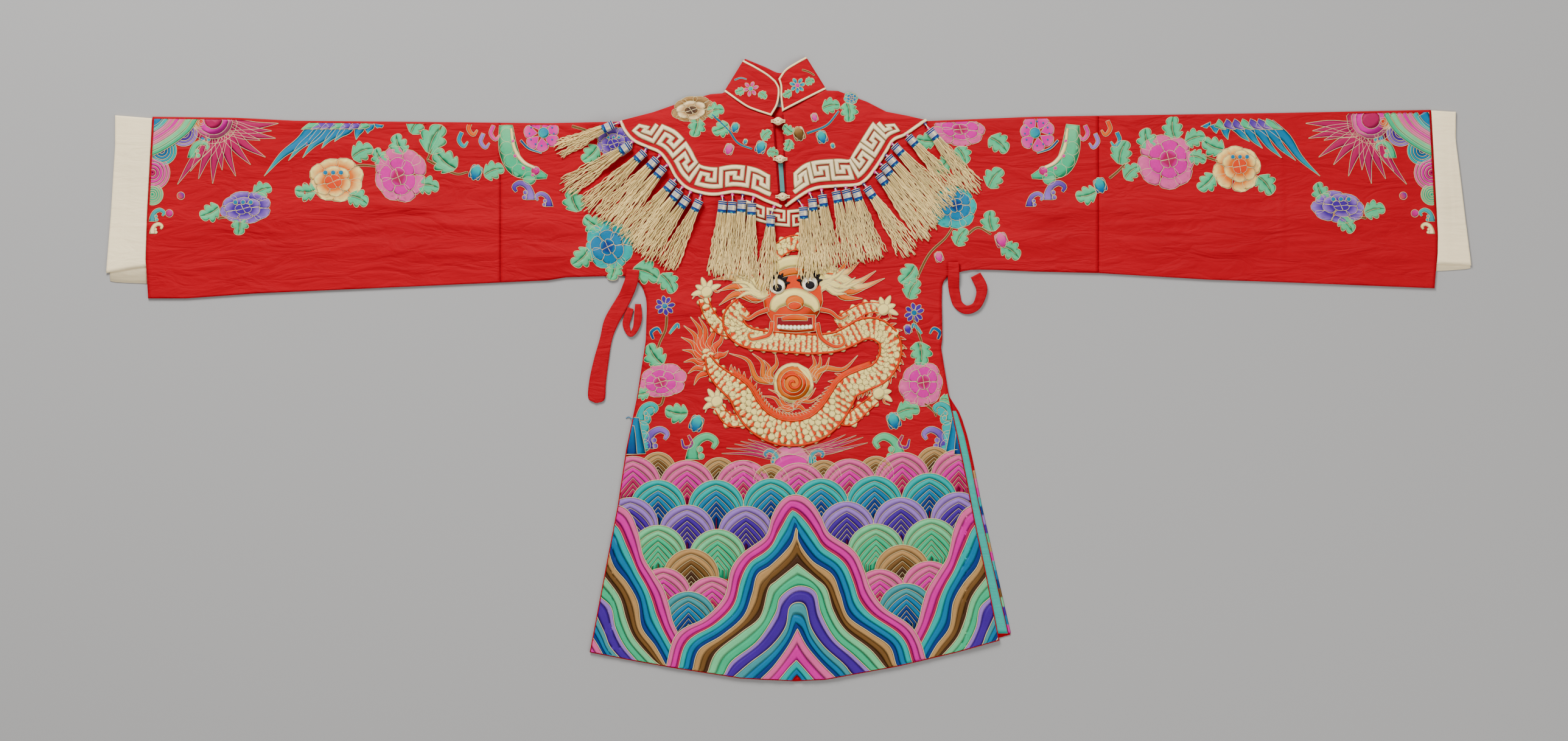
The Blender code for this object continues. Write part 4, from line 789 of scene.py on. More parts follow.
# Each collar binding runs along the seam, up the front and back along the top, or the other way
collarRuns = {"Left": (curves["leftLow"], curves["leftFront"], curves["leftTop"][::-1]),
              "Right": (curves["rightTop"][::-1], curves["rightFront"][::-1], curves["rightLow"])}
for side, parts in collarRuns.items():
    path = np.vstack([parts[0][:-1], parts[1][:-1], parts[2]])
    work = Needlework(collarTop)
    work.patch(ribbon(path, 3.2, 5, 1.7), tint("cream"), 1.0, 0.3)
    work.make("collarBinding" + side, "couched", ["collar_binding_" + side.lower()])

facingY = np.linspace(-62.0, -391.0, 62)
facingLine = np.column_stack([readEdge("sideRightBack", facingY) - 5.0, facingY])
grid = between(facingLine, facingLine - [24.0, 0.0], 8)
piece = clothPanel("slitFacing", [grid], lambda x, y: 2.75 + 0.12 * np.sin(y / 17.0), 1.0, "turquoise",
                   ["slit_facing"])
stripY = np.linspace(304.0, 261.0, 24)
middle = (readEdge("capeFrontLeft", stripY) + readEdge("capeFrontRight", stripY)) * 0.5
stripLine = np.column_stack([middle, stripY])
grid = between(stripLine + [3.4, 0.0], stripLine - [3.4, 0.0], 6)
piece = clothPanel("openingStrip", [grid], lambda x, y: 6.9 + 0.0 * x, 1.1, "placket",
                   ["placket"])
print("bindings, key borders and strips made")

# Round cords in space, for buttons, knots and fringe


def tubePoints(path, radius, sides, closed=False):
    # Circles of points about a path, across a steady up direction
    run = np.roll(path, -1, axis=0) - np.roll(path, 1, axis=0) if closed else np.gradient(path, axis=0)
    run = run / np.maximum(np.linalg.norm(run, axis=1), 1e-9)[:, None]
    up = np.where(np.abs(run[:, 2:3]) > 0.9, [[1.0, 0.0, 0.0]], [[0.0, 0.0, 1.0]])
    side = np.cross(run, up)
    side = side / np.maximum(np.linalg.norm(side, axis=1), 1e-9)[:, None]
    lift = np.cross(side, run)
    angle = np.linspace(0.0, 2 * np.pi, sides, endpoint=False)[None, :, None]
    size = (np.zeros(len(path)) + radius)[:, None, None]
    return path[:, None] + size * (np.cos(angle) * side[:, None] + np.sin(angle) * lift[:, None])


def addTube(work, path, radius, sides, colour, closed=False):
    rings = tubePoints(path, radius, sides, closed)
    n = len(path)
    work.faces += (ringQuads(n, sides, closed)[:, ::-1] + work.count).tolist()
    if not closed:
        work.faces += [(work.count + np.arange(sides)).tolist(),
                       (work.count + (n - 1) * sides + np.arange(sides)[::-1]).tolist()]
    work.points.append(rings.reshape(-1, 3))
    work.colours.append(np.broadcast_to(colour, (n, sides, 3)).reshape(-1, 3))
    u, v = np.meshgrid(np.arange(n) * 1.0, np.arange(sides) * 0.8, indexing="ij")
    work.maps.append(np.dstack([u + 3.0 * v, v]).reshape(-1, 2))
    work.count += n * sides


def knotPath(x, y, z, size, leads=3, bights=5, count=150):
    # Turk's head wound on a ball: longitude goes round leads times while latitude swings bights times
    t = np.linspace(0.0, 2 * np.pi, count, endpoint=False)
    longitude, latitude = leads * t, 0.95 * np.sin(bights * t)
    reach = size * (1.0 + 0.10 * np.cos(2 * bights * t))
    return np.column_stack([x + reach * np.cos(latitude) * np.cos(longitude),
                            y + reach * np.cos(latitude) * np.sin(longitude), z + reach * np.sin(latitude)])


for number, (x, y) in enumerate([(-15.6, 366.0), (-12.5, 310.0), (-9.0, 254.5)], start=1):
    work = Needlework(capeTop)
    z = 13.0
    addTube(work, knotPath(x, y, z, 3.9), 1.45, 8, tint("cream"), True)
    addTube(work, knotPath(x, y, z, 2.2, 2, 3, 60), 1.6, 8, tint("tan"), True)
    for order in (-1.0, 1.0):
        bow = evenCurve([(x + order * 10.5, y + 1.2, 8.6), (x + order * 6.5, y + 1.8, 9.6),
                         (x, y + 5.2, 9.8), (x - order * 5.6, y, 9.8), (x, y - 5.2, 9.8),
                         (x + order * 6.5, y - 1.8, 9.6), (x + order * 10.5, y - 1.2, 8.6)], 40)
        addTube(work, bow, 0.95, 7, tint("cream"))
    work.make("ballButton%d" % number, "couched", ["ball_button_%d" % number])

# Tassels: columns head x, head y, fringe end x, fringe end y, fringe end width
tassels = np.array([
    (-267, 357, -344, 322, 17), (-241.8, 326, -334, 263.5, 20), (-219.3, 314, -302, 236, 20),
    (-201, 303.6, -279.5, 219, 19), (-190, 290.6, -260, 206.5, 17), (-175.6, 270, -243.6, 188.6, 18),
    (-166, 256.8, -228, 176, 16), (-154, 246, -212.6, 162, 17), (-135.6, 241, -182, 147, 20),
    (-98, 239, -109, 136, 13.5), (-83.6, 238, -93, 133, 13.5), (-69.4, 240, -76.5, 134, 14),
    (-54.6, 235.6, -59, 131, 15), (-26.7, 218.3, -34, 114, 22), (21.9, 230, 27, 130, 15),
    (35.6, 242.4, 47, 139, 15.5), (50.8, 248.2, 66, 146, 15.5), (71.4, 253.4, 92, 152, 17),
    (86.4, 256, 112.5, 157, 15.5), (101.2, 257, 133, 161, 16), (120.2, 260.2, 182, 169, 20),
    (138.2, 279.6, 204.7, 191, 15.5), (145, 293.5, 217.5, 208, 14), (152.6, 306.8, 228.5, 223, 13.5),
    (161.6, 323.5, 240, 240, 16), (182.4, 336.4, 252.5, 258, 17), (213, 346.2, 279.5, 262, 17)])
tassel = {"headWidth": 13.6, "headHeight": 10.6, "headLength": 18.5, "headRows": 62, "headSides": 16,
          "threads": 27, "threadSteps": 27, "threadRadius": 0.64, "spreadMore": 1.65, "overFace": 3.2}
capeLine = np.vstack([evenCurve(edges["capeLow" + side], 300) for side in ("Left", "Right")])


def headColours(rows, around):
    # Blue, white stitches on navy with a cream bar, blue again; two rows of every five are stitches
    s = np.linspace(0.0, 1.0, rows)[:, None]
    turn = np.linspace(0.0, 2 * np.pi, around, endpoint=False)[None, :]
    colour = np.zeros((rows, around, 3)) + tint("headBlue") * 0.8

    def paint(where, name, share=1.0):
        colour[np.broadcast_to(where, (rows, around))] = tint(name) * share

    zone = (s > 0.30) & (s < 0.70)
    paint(zone, "navy", 0.45)
    paint(zone & (np.arange(rows)[:, None] % 5 < 2), "white")
    paint(zone & (np.abs(turn - 1.15) < 0.22), "cream")
    paint((s < 0.04) | (np.abs(s - 0.17) < 0.02), "cream")
    paint((s > 0.84) & (s < 0.92) & (np.sin(turn * 5.0) > 0.5), "turquoise")
    return colour


def layTassel(number, headX, headY, endX, endY, fan):
    work = Needlework(robeTop)
    head, tail = np.array([headX, headY]), np.array([endX, endY])
    length = np.linalg.norm(tail - head)
    run = (tail - head) / length
    side = np.array([-run[1], run[0]])
    half = tassel["headLength"] * 0.5
    probe = head + run * np.array([-half, 0.0, half])[:, None]
    base = robeTop(probe[:, 0], probe[:, 1]).max() + 1.2
    middle = base + tassel["headHeight"] * 0.5
    # Head: an oval drum, a little fuller at its rim
    rows, around = tassel["headRows"], tassel["headSides"]
    s = np.linspace(0.0, 1.0, rows)
    turn = np.linspace(0.0, 2 * np.pi, around, endpoint=False)
    full = 0.94 + 0.10 * np.exp(-((s - 0.07) / 0.06) ** 2) - 0.5 * np.exp(-s / 0.012)
    full = full - 0.1 * smooth((s - 0.93) / 0.07)
    full = full + 0.012 * np.sin(s * 2 * np.pi * 12.5) * smooth((s - 0.28) / 0.05) * smooth((0.8 - s) / 0.05)
    centre = head + run * ((s * 2 - 1) * half)[:, None]
    wide = full[:, None] * np.cos(turn)[None, :] * tassel["headWidth"] * 0.5
    plan = centre[:, None] + side * wide[..., None]
    z = middle + full[:, None] * np.sin(turn)[None, :] * tassel["headHeight"] * 0.5
    work.faces += ringQuads(rows, around)[:, ::-1].tolist()
    work.faces += [np.arange(around).tolist(), ((rows - 1) * around + np.arange(around)[::-1]).tolist()]
    work.points.append(np.dstack([plan, z]).reshape(-1, 3))
    work.colours.append(headColours(rows, around).reshape(-1, 3))
    u, v = np.meshgrid(turn * 6.0, s * 18.0)
    work.maps.append(np.dstack([u, v]).reshape(-1, 2))
    work.count += rows * around
    # A pale cord from the cape's edge to the head, with two knots on it
    top = head - run * half
    anchor = capeLine[np.argmin(np.hypot(*(capeLine - top).T))]
    hung = top - anchor
    reach = max(np.linalg.norm(hung), 1e-6)
    startZ = 6.2
    line = np.array([(*anchor, startZ + 1.2), (*(anchor + hung * 0.5), middle + 0.5),
                     (*(top + run * 1.5), middle)])
    addTube(work, evenCurve(line, 8), 0.8, 6, tint("cream"))
    knots = ["hotPink", "purple"] if number % 3 else ["purple", "hotPink"]
    for share, name in zip((0.15, 0.75), knots):
        at = anchor + hung * share + hung / reach * 0.6
        colour = tint(name) * (0.55 if name == "purple" else 1.0)
        knot = knotPath(at[0], at[1], startZ + 1.6 + (middle - startZ - 1.6) * share, 1.7, 2, 3, 40)
        addTube(work, knot, 0.95, 6, colour, True)
    # Fringe: wavy twisted threads that fan out, in three layers
    count, steps = tassel["threads"], tassel["threadSteps"]
    lane = np.linspace(-1.0, 1.0, count) + rng.uniform(-0.09, 0.09, count)
    layer = rng.permutation(np.arange(count) % 3)
    t = np.linspace(0.0, 1.0, steps)[None, :]
    reachTo = (length - half) * (1.0 - 0.10 * lane ** 2 + rng.uniform(-0.07, 0.05, count))[:, None]
    ahead = half - 1.0 + reachTo * t
    spread = tassel["headWidth"] * 0.42 * lane[:, None] * (1 - t)
    spread = spread + fan * 0.5 * tassel["spreadMore"] * lane[:, None] * t
    wave = rng.uniform(0.5, 1.5, count)[:, None] * np.sin(
        t * rng.uniform(7.0, 15.0, count)[:, None] + rng.uniform(0, 6.3, count)[:, None]) * smooth(t * 2.2)
    wave = wave + rng.uniform(0.4, 0.9, count)[:, None] * np.sin(
        t * rng.uniform(30.0, 46.0, count)[:, None] + rng.uniform(0, 6.3, count)[:, None]) * smooth(t * 3.0)
    bend = rng.uniform(-2.6, 2.6, count)[:, None] * smooth((t - 0.55) / 0.45) ** 2
    plan = head + run * ahead[..., None] + side * (spread + wave + bend)[..., None]
    # The fringe lies over the neck band and over the dragon's raised face
    x, y = plan[..., 0], plan[..., 1]
    ground = robeTop(x, y) + 1.0
    ground += 1.4 * ((np.abs(x) < 70) & (np.abs(y - 225 - neckBand["bow"] * x ** 2) < 20))
    face = smooth((60.0 - np.abs(x - 6.0)) / 14.0) * smooth((176.0 - y) / 16.0)
    ground += tassel["overFace"] * face
    lifted = (middle - ground) * (1 - smooth(t * 1.6)) + layer[:, None] * (0.9 + 0.5 * (1 - t))
    loose = rng.uniform(-0.30, 0.36, count)[:, None]
    lifted = lifted + (1 - t) * loose * tassel["headHeight"] * (1 - smooth(t * 3))
    z = ground + lifted + 0.25 * np.abs(np.sin(t * 9.0 + layer[:, None]))
    for k in range(count):
        shade = tint("fringe") * rng.uniform(0.62, 1.08)
        addTube(work, np.column_stack([plan[k], z[k]]), tassel["threadRadius"], 4, shade)
    return work.make("tassel%02d" % number, "tassel", ["tassel_%02d" % number])


for number, row in enumerate(tassels, start=1):
    layTassel(number, *row)
print("buttons and tassels made")

# Ties, columns x, y, width, rise
ties = {
    "tieLeft": [(-230, 147, 19.5, 4.6), (-232, 132, 19.5, 4.4), (-235.5, 121, 20, 3.9), (-241, 108, 20, 1.0),
                (-247, 97, 21, 0.4), (-262, 70, 21.5, 0.4), (-270, 44, 18, 0.4), (-277, 12, 22, 0.4),
                (-282.5, -20, 25, 0.4), (-284, -44, 24, 0.4), (-284.5, -50, 3, 0.4)],
    "tieLeftLoop": [(-233.3, 90, 9, 0.3), (-237.8, 77, 11.5, 0.3), (-240, 64, 10, 0.3), (-233.8, 51, 7.5, 1.0),
                    (-226, 60, 9, 2.0), (-222.5, 76, 12, 2.1), (-222.5, 96, 9, 2.2)],
    "tieRight": [(243.5, 158, 17, 4.6), (243.5, 144, 17, 4.5), (243.5, 133, 17, 3.9), (244, 120, 16, 1.0),
                 (246, 109, 15.5, 0.4), (250, 96, 14, 0.4), (262, 87.5, 13, 0.5), (276.5, 92.5, 13, 1.6),
                 (284, 108, 15, 2.0), (284.5, 122, 17, 2.0), (276, 139, 16, 2.0)]}
tieNodes = {"tieLeft": "tie_left", "tieLeftLoop": "tie_left_loop", "tieRight": "tie_right"}
for name, rows in ties.items():
    path = evenCurve(rows, 70)
    t = np.linspace(-1.0, 1.0, 9)[None, :]
    z = path[:, 3:4] + 1.4 + 0.5 * np.exp(-((t - 0.3) / 0.25) ** 2) + 0.25 * np.sin(path[:, 1:2] / 9.0 + 2 * t)
    grid = np.dstack([band(path, 9), z])[:, ::-1]
    piece = clothPanel(name, [grid], None, 1.2, "silk", [tieNodes[name]])
print("ties laid")

# Embroidery: petals, leaves, stems and bands of laid threads with a couched outline


def shades(names, count):
    # Colours at even steps through the named ones
    stops = np.array([tint(name) for name in names])
    at = np.linspace(0.0, len(stops) - 1.0, count)
    return np.column_stack([np.interp(at, np.arange(len(stops)), stops[:, k]) for k in range(3)])


def petalGrid(start, length, width, blunt=1.0, bend=0.0, rows=9, cols=5, lobe=0.0):
    # Along x: half width is width / 2 * sin(pi * s ** blunt) ** 0.6, the middle leans by bend * s squared and
    # the tip has three lobes: x grows by lobe * s squared * cos(2 pi * across)
    s = np.linspace(0.015, 0.985, rows)[:, None]
    half = 0.5 * width * np.sin(np.pi * s ** blunt) ** 0.6
    across = np.linspace(1.0, -1.0, cols)[None, :]
    x = start + length * s * (1.0 + lobe * s * np.cos(2 * np.pi * across))
    return np.dstack([x, half * across + bend * length * s ** 2])


def place(grid, at, turn=0.0, squash=1.0, lean=0.0):
    # Turns the grid, flattens it, leans it and moves it to its place
    c, s = np.cos(turn), np.sin(turn)
    x, y = grid[..., 0] * c - grid[..., 1] * s, (grid[..., 0] * s + grid[..., 1] * c) * squash
    c, s = np.cos(lean), np.sin(lean)
    return np.stack([x * c - y * s + at[0], x * s + y * c + at[1]], axis=-1)


def sewn(work, plan, names, lift=0.2, outline="cord", puff=0.28, width=0.85):
    # A patch shaded from its root to its tip, with a couched line round it
    work.patch(plan, shades(names, plan.shape[0])[:, None], puff, lift)
    if outline:
        rim = np.vstack([plan[:, 0], plan[::-1, -1]])
        work.cord(rim, tint(outline), width, 0.35, np.max(lift) + 0.15, True)


def flower(work, at, size, layers, squash=1.0, lean=0.0, lift=0.2):
    # Layers of petals, each with count, start, length, width, blunt, phase, lobe and colours
    for count, start, length, width, blunt, phase, lobe, names in layers:
        for k in range(count):
            reach = length * rng.uniform(0.93, 1.05)
            grid = petalGrid(start * size, reach * size, width * size, blunt, 0.06 * (-1) ** k, 9, 9, lobe)
            turn = phase + 2 * np.pi * k / count + rng.uniform(-0.10, 0.10)
            sewn(work, place(grid, at, turn, squash, lean), names, lift + 0.12 * (k % 2))
        lift += 0.42


def dot(work, at, radius, names, lift=0.2, squash=1.0, outline="cord"):
    x = np.linspace(-0.98, 0.98, 9)[:, None]
    across = np.linspace(1.0, -1.0, 5)[None, :]
    grid = np.dstack([x + 0.0 * across, np.sqrt(1.0 - x * x) * across]) * radius
    sewn(work, place(grid, at, 0.6, squash), names, lift, outline)


def taper(work, points, widths, names, lift=0.25, count=22, line=0.85):
    # A band along a curve with its own width at each of its points
    path = evenCurve(np.column_stack([points, widths]), count)
    sewn(work, band(path, 4), names, lift, width=line)


def flame(work, root, tip, width, names, lift=0.3, swing=0.14, line=0.85):
    # A tongue that swings to each side on its way to a point
    root, tip = np.array(root, dtype=float), np.array(tip, dtype=float)
    run = tip - root
    side = np.array([-run[1], run[0]]) * swing
    points = [root, root + run * 0.3 + side, root + run * 0.62 - side * 0.7, tip]
    taper(work, points, [width, width * 0.9, width * 0.55, 0.6], names, lift, 14, line=line)


def stem(work, points, width=3.6, names=("brown", "brown")):
    taper(work, points, np.linspace(width, width * 0.7, len(points)), names, 0.15, 8 * len(points), line=0.5)


def leaf(work, at, size, turn, names=("green", "paleGreen"), lift=0.2):
    # Two halves from a couched vein to a lobed edge, t along the vein; half width is
    # 0.46 * size * sin(pi * t ** 0.7) ** 0.7 * (0.62 + 0.48 * abs(sin(3 pi t)) ** 0.7)
    t = np.linspace(0.02, 0.98, 25)
    lobe = np.abs(np.sin(3 * np.pi * t)) ** 0.7
    half = 0.46 * size * np.sin(np.pi * t ** 0.7) ** 0.7 * (0.62 + 0.48 * lobe)
    vein = np.column_stack([size * 1.1 * (t - 0.5), 0.10 * size * np.sin(np.pi * t)])
    upper, lower = (vein + np.column_stack([0.10 * size * lobe, sign * half]) for sign in (1.0, -1.0))
    for edge, order in ((upper, names), (lower, names[::-1])):
        work.patch(place(between(edge, vein, 4), at, turn), shades(order, 4)[None], 0.4, lift, along=False)
    rim = place(np.vstack([upper, lower[::-1]])[:, None], at, turn)[:, 0]
    work.cord(rim, tint("cord"), 1.0, 0.35, lift + 0.15, True)
    work.cord(place(vein[:20, None], at, turn)[:, 0], tint("cord"), 0.8, 0.3, lift + 0.3)


def crest(work, at, size, order, names, lift=0.3):
    # A wave's crest that rises and hooks over, with a lobed foot
    shape = np.array([(0.0, 0.0), (0.02, 0.4), (0.22, 0.78), (0.62, 0.95), (0.95, 0.74), (0.82, 0.46)])
    points = np.array(at) + shape * [order * size, size]
    taper(work, points, np.array([0.62, 0.42, 0.36, 0.32, 0.27, 0.16]) * size, names, lift)
    for k, (x, y) in enumerate([(0.30, 0.42), (0.36, 0.14)]):
        dot(work, np.array(at) + np.array([x * order, y]) * size, 0.13 * size, names[::-1], lift + 0.1)


blooms = {
    "pink": (("magenta", "hotPink", "lightPink", "lightPink"), ("magenta", "hotPink", "hotPink"),
             ("magenta", "magenta", "hotPink")),
    "teal": (("navy", "blue", "turquoise", "turquoise"), ("navy", "blue", "blue"), ("navy", "navy", "blue")),
    "purple": (("purple", "purple", "lilac"), ("purple", "purple", "lilac"), ("purple", "purple", "purple")),
    "orange": (("softOrange", "softOrange", "scale"), ("orange", "softOrange", "scale"),
               ("orange", "orange", "orange")),
    "brown": (("darkBrown", "brown", "tan"), ("brown", "tan", "cream"), ("darkBrown", "darkBrown", "brown"))}


def peony(work, at, wide, high, kind, lean=0.0):
    # Two whorls of lobed petals round a cup that sits a little to one side
    outer, middle, inner = blooms[kind]
    size, squash = wide * 0.5, high / wide
    flower(work, at, size, [(8, 0.24, 0.76, 0.80, 2.2, 0.2, 0.07, outer)], squash, lean)
    heart = np.array(at) + np.array([-0.10, -0.10 * squash]) * size * (1 if at[0] < 0 else -1)
    flower(work, heart, size, [(6, 0.10, 0.60, 0.62, 2.0, 0.6, 0.06, middle)], squash, lean, 0.65)
    flower(work, heart, size, [(4, 0.0, 0.34, 0.38, 1.7, 1.1, 0.0, inner)], squash, lean, 1.05)
    if kind in ("orange", "purple"):
        for k in (-1, 0, 1):
            dot(work, heart + np.array([0.30 * k, 0.42 * squash]) * size, 0.09 * size, ("blue", "blue"), 1.3)


def daisy(work, at, radius, kind, heart, count=8):
    outer = ("purple", "purple") if kind == "purple" else blooms[kind][0]
    flower(work, at, radius, [(count, 0.26, 0.74, 0.44, 1.15, 0.2, 0.0, outer)])
    dot(work, at, radius * 0.28, (heart, heart), 0.5)


def bud(work, at, radius, kind, turn):
    outer, middle, inner = blooms[kind]
    for lean, lift, names in ((0.65, 0.2, middle), (-0.65, 0.25, middle), (0.0, 0.5, outer)):
        grid = petalGrid(-radius, 1.9 * radius, 1.25 * radius, 1.1)
        sewn(work, place(grid, at, turn + lean), names, lift)


# Flowers: kind, x, y, width, height; leaves: x, y, length; buds: kind, x, y, radius; stems: points
garden = {
    "sleeveLeft": {
        "flowers": [("purple", -802, 239, 76, 46), ("orange", -669, 280, 77, 64), ("pink", -573, 288, 74, 80)],
        "leaves": [(-855, 233, 26), (-778, 262, 24), (-813, 213, 24), (-713, 264, 26), (-637, 250, 26),
                   (-630, 319, 28), (-574, 332, 26), (-603, 314, 22), (-533, 269, 26), (-549, 360, 26),
                   (-522, 338, 38), (-506, 309, 34), (-436, 291, 26)],
        "buds": [("teal", -462, 291, 13)],
        "stems": [[(-843, 223), (-830, 224), (-816, 220)], [(-656, 297), (-631, 301), (-606, 299)],
                  [(-513, 361), (-518, 340), (-527, 324), (-534, 309)], [(-534, 309), (-494, 289), (-474, 291)]]},
    "sleeveRight": {
        "flowers": [("pink", 557, 306, 83, 78), ("orange", 663, 296, 70, 67), ("purple", 812, 239, 76, 46)],
        "leaves": [(494, 319, 30), (532, 339, 28), (570, 356, 28), (600, 339, 26), (628, 331, 28), (440, 259, 26),
                   (507, 290, 24), (603, 311, 22), (617, 277, 26), (703, 272, 28), (865, 233, 26), (788, 262, 24),
                   (823, 213, 24)],
        "buds": [("teal", 460, 272, 13)],
        "stems": [[(474, 282), (486, 292), (500, 306)], [(595, 321), (620, 312), (645, 304)],
                  [(853, 223), (840, 224), (826, 220)]]},
    "robe": {
        "flowers": [("teal", -264, 184, 69, 71), ("pink", 250, 352, 77, 45), ("teal", 244, 239, 65, 62),
                    ("purple", -256, 335, 52, 44), ("pink", -186, -17, 67, 49), ("pink", 196, -23, 62, 66)],
        "leaves": [(-307, 166, 28), (-260, 146, 24), (-288, 216, 26), (-315, 249, 30), (-293, 319, 26),
                   (309, 332, 28), (255, 316, 24), (204, 339, 24), (305, 281, 28), (227, 302, 24), (255, 194, 24),
                   (300, 218, 26), (327, 173, 26), (-216, -35, 18), (-212, 140, 34), (-180, 127, 28),
                   (176, 141, 28), (184, 117, 26), (-196, 21, 30), (193, 23, 30), (-165, -63, 28), (176, -63, 28),
                   (232, -47, 16)],
        "buds": [("pink", 314, 191, 13), ("pink", 222, 166, 9), ("teal", -136, -80, 14), ("teal", 155, -76, 14),
                 ("purple", 176, 59, 8)],
        "stems": [[(-320, 359), (-298, 352), (-280, 340)], [(187, 129), (207, 169), (231, 193), (242, 209)],
                  [(264, 199), (280, 209), (299, 199)], [(-180, 78), (-182, 58), (-190, 40), (-194, 28)],
                  [(184, 78), (190, 58), (196, 40), (194, 28)], [(-184, -40), (-188, -52), (-196, -55)],
                  [(200, -50), (214, -62), (218, -70)]]}}


def clipRobe(plan):
    # Keeps the stitches inside the side seams, hem and shoulder line
    x, y = plan[..., 0], plan[..., 1]
    y = np.minimum(y, readEdge("shoulder", x) - 3.0)
    y = np.where(np.abs(x) < 340, np.maximum(y, readEdge("hem", x) + 1.6), y)
    low = y < 125.0
    x = np.where(low, np.clip(x, readEdge("sideLeft", y) + 1.6, readEdge("sideRight", y) - 1.6), x)
    x = np.clip(x, readEdge("sleeveEndLeft", y) + 3.0, readEdge("sleeveEndRight", y) - 3.0)
    return np.stack([x, y], axis=-1)


def grow(work, beds):
    # Sews a bed: stems, then leaves that point away from the nearest flower, then buds and flowers
    for points in beds["stems"]:
        stem(work, points)
    hearts = np.array([row[1:3] for row in beds["flowers"] + beds["buds"]], dtype=float)
    for number, (x, y, size) in enumerate(beds["leaves"]):
        near = hearts[np.argmin(np.hypot(*(hearts - [x, y]).T))]
        turn = np.arctan2(y - near[1], x - near[0]) + 0.35 * (-1) ** number
        leaf(work, (x, y), size * 1.12, turn)
    for kind, x, y, radius in beds["buds"]:
        bud(work, (x, y), radius, kind, 1.2 if x < 0 else 1.9)
    for kind, x, y, wide, high in beds["flowers"]:
        peony(work, (x, y), wide, high, kind, 0.1 if x < 0 else -0.1)


# For what repeats on both halves: the sum of a point's x and its mirrored x
mirrorSum = {"robe": 20.4, "sleeveEnd": 10, "butterfly": 2}


def onSide(order, total):
    # Points as they are for the left, order 1, and mirrored for the right, order -1
    return lambda x, y: (x if order > 0 else total - x, y)


def butterfly(work, order):
    # The long winged insect on each sleeve, by the shoulder
    at = onSide(order, mirrorSum["butterfly"])
    taper(work, [at(-418, 361), at(-414, 324), at(-402, 298), at(-378, 290), at(-357, 284)], [20, 28, 26, 20, 6],
          ("paleGreen", "green", "green"), 0.3)
    taper(work, [at(-410, 356), at(-405, 326), at(-392, 306), at(-372, 296)], [3, 5, 5, 3],
          ("scale", "cream"), 0.85)
    for x, y in ((-413, 340), (-410, 318), (-398, 300), (-384, 290)):
        dot(work, at(x + 6, y - 3), 2.6, ("hotPink", "hotPink"), 0.9)
    for x, y, radius in ((-424, 346, 10), (-425, 326, 10), (-419, 308, 10), (-407, 293, 10), (-391, 282, 10)):
        dot(work, at(x + 8, y), radius, ("green", "paleGreen"), 0.2)
    flower(work, at(-365, 348), 27, [(7, 0.2, 0.8, 0.7, 1.9, 0.3, 0.0, ("hotPink", "hotPink", "lightPink"))])
    for turn in np.linspace(0.0, 2 * np.pi, 12, endpoint=False):
        dot(work, at(-365 + 18 * np.cos(turn), 348 + 18 * np.sin(turn)), 1.4, ("blue", "blue"), 0.9, 1.0, None)
    dot(work, at(-362, 349), 8, ("turquoise", "blue"), 0.8)
    dot(work, at(-374, 293), 6.6, ("magenta", "hotPink"), 0.9)
    taper(work, [at(-396, 338), at(-384, 326), at(-365, 319)], [3.5, 3.2, 2], ("navy", "blue"), 0.9)
    for x, y, tall, names in ((-381, 250, 26, ("lilac", "purple")), (-354, 240, 20, ("purple", "lilac"))):
        crest(work, at(x, y), tall, -order, names)
    for x, y, names in ((-433, 348, ("hotPink", "lightPink")), (-466, 355, ("orange", "softOrange")),
                        (-448, 336, ("lilac", "lilac")), (-480, 338, ("blue", "turquoise"))):
        taper(work, [at(x - 3, y + 12), at(x - 7, y), at(x, y - 9), at(x + 6, y - 2)], [6, 6, 5, 2.5], names)


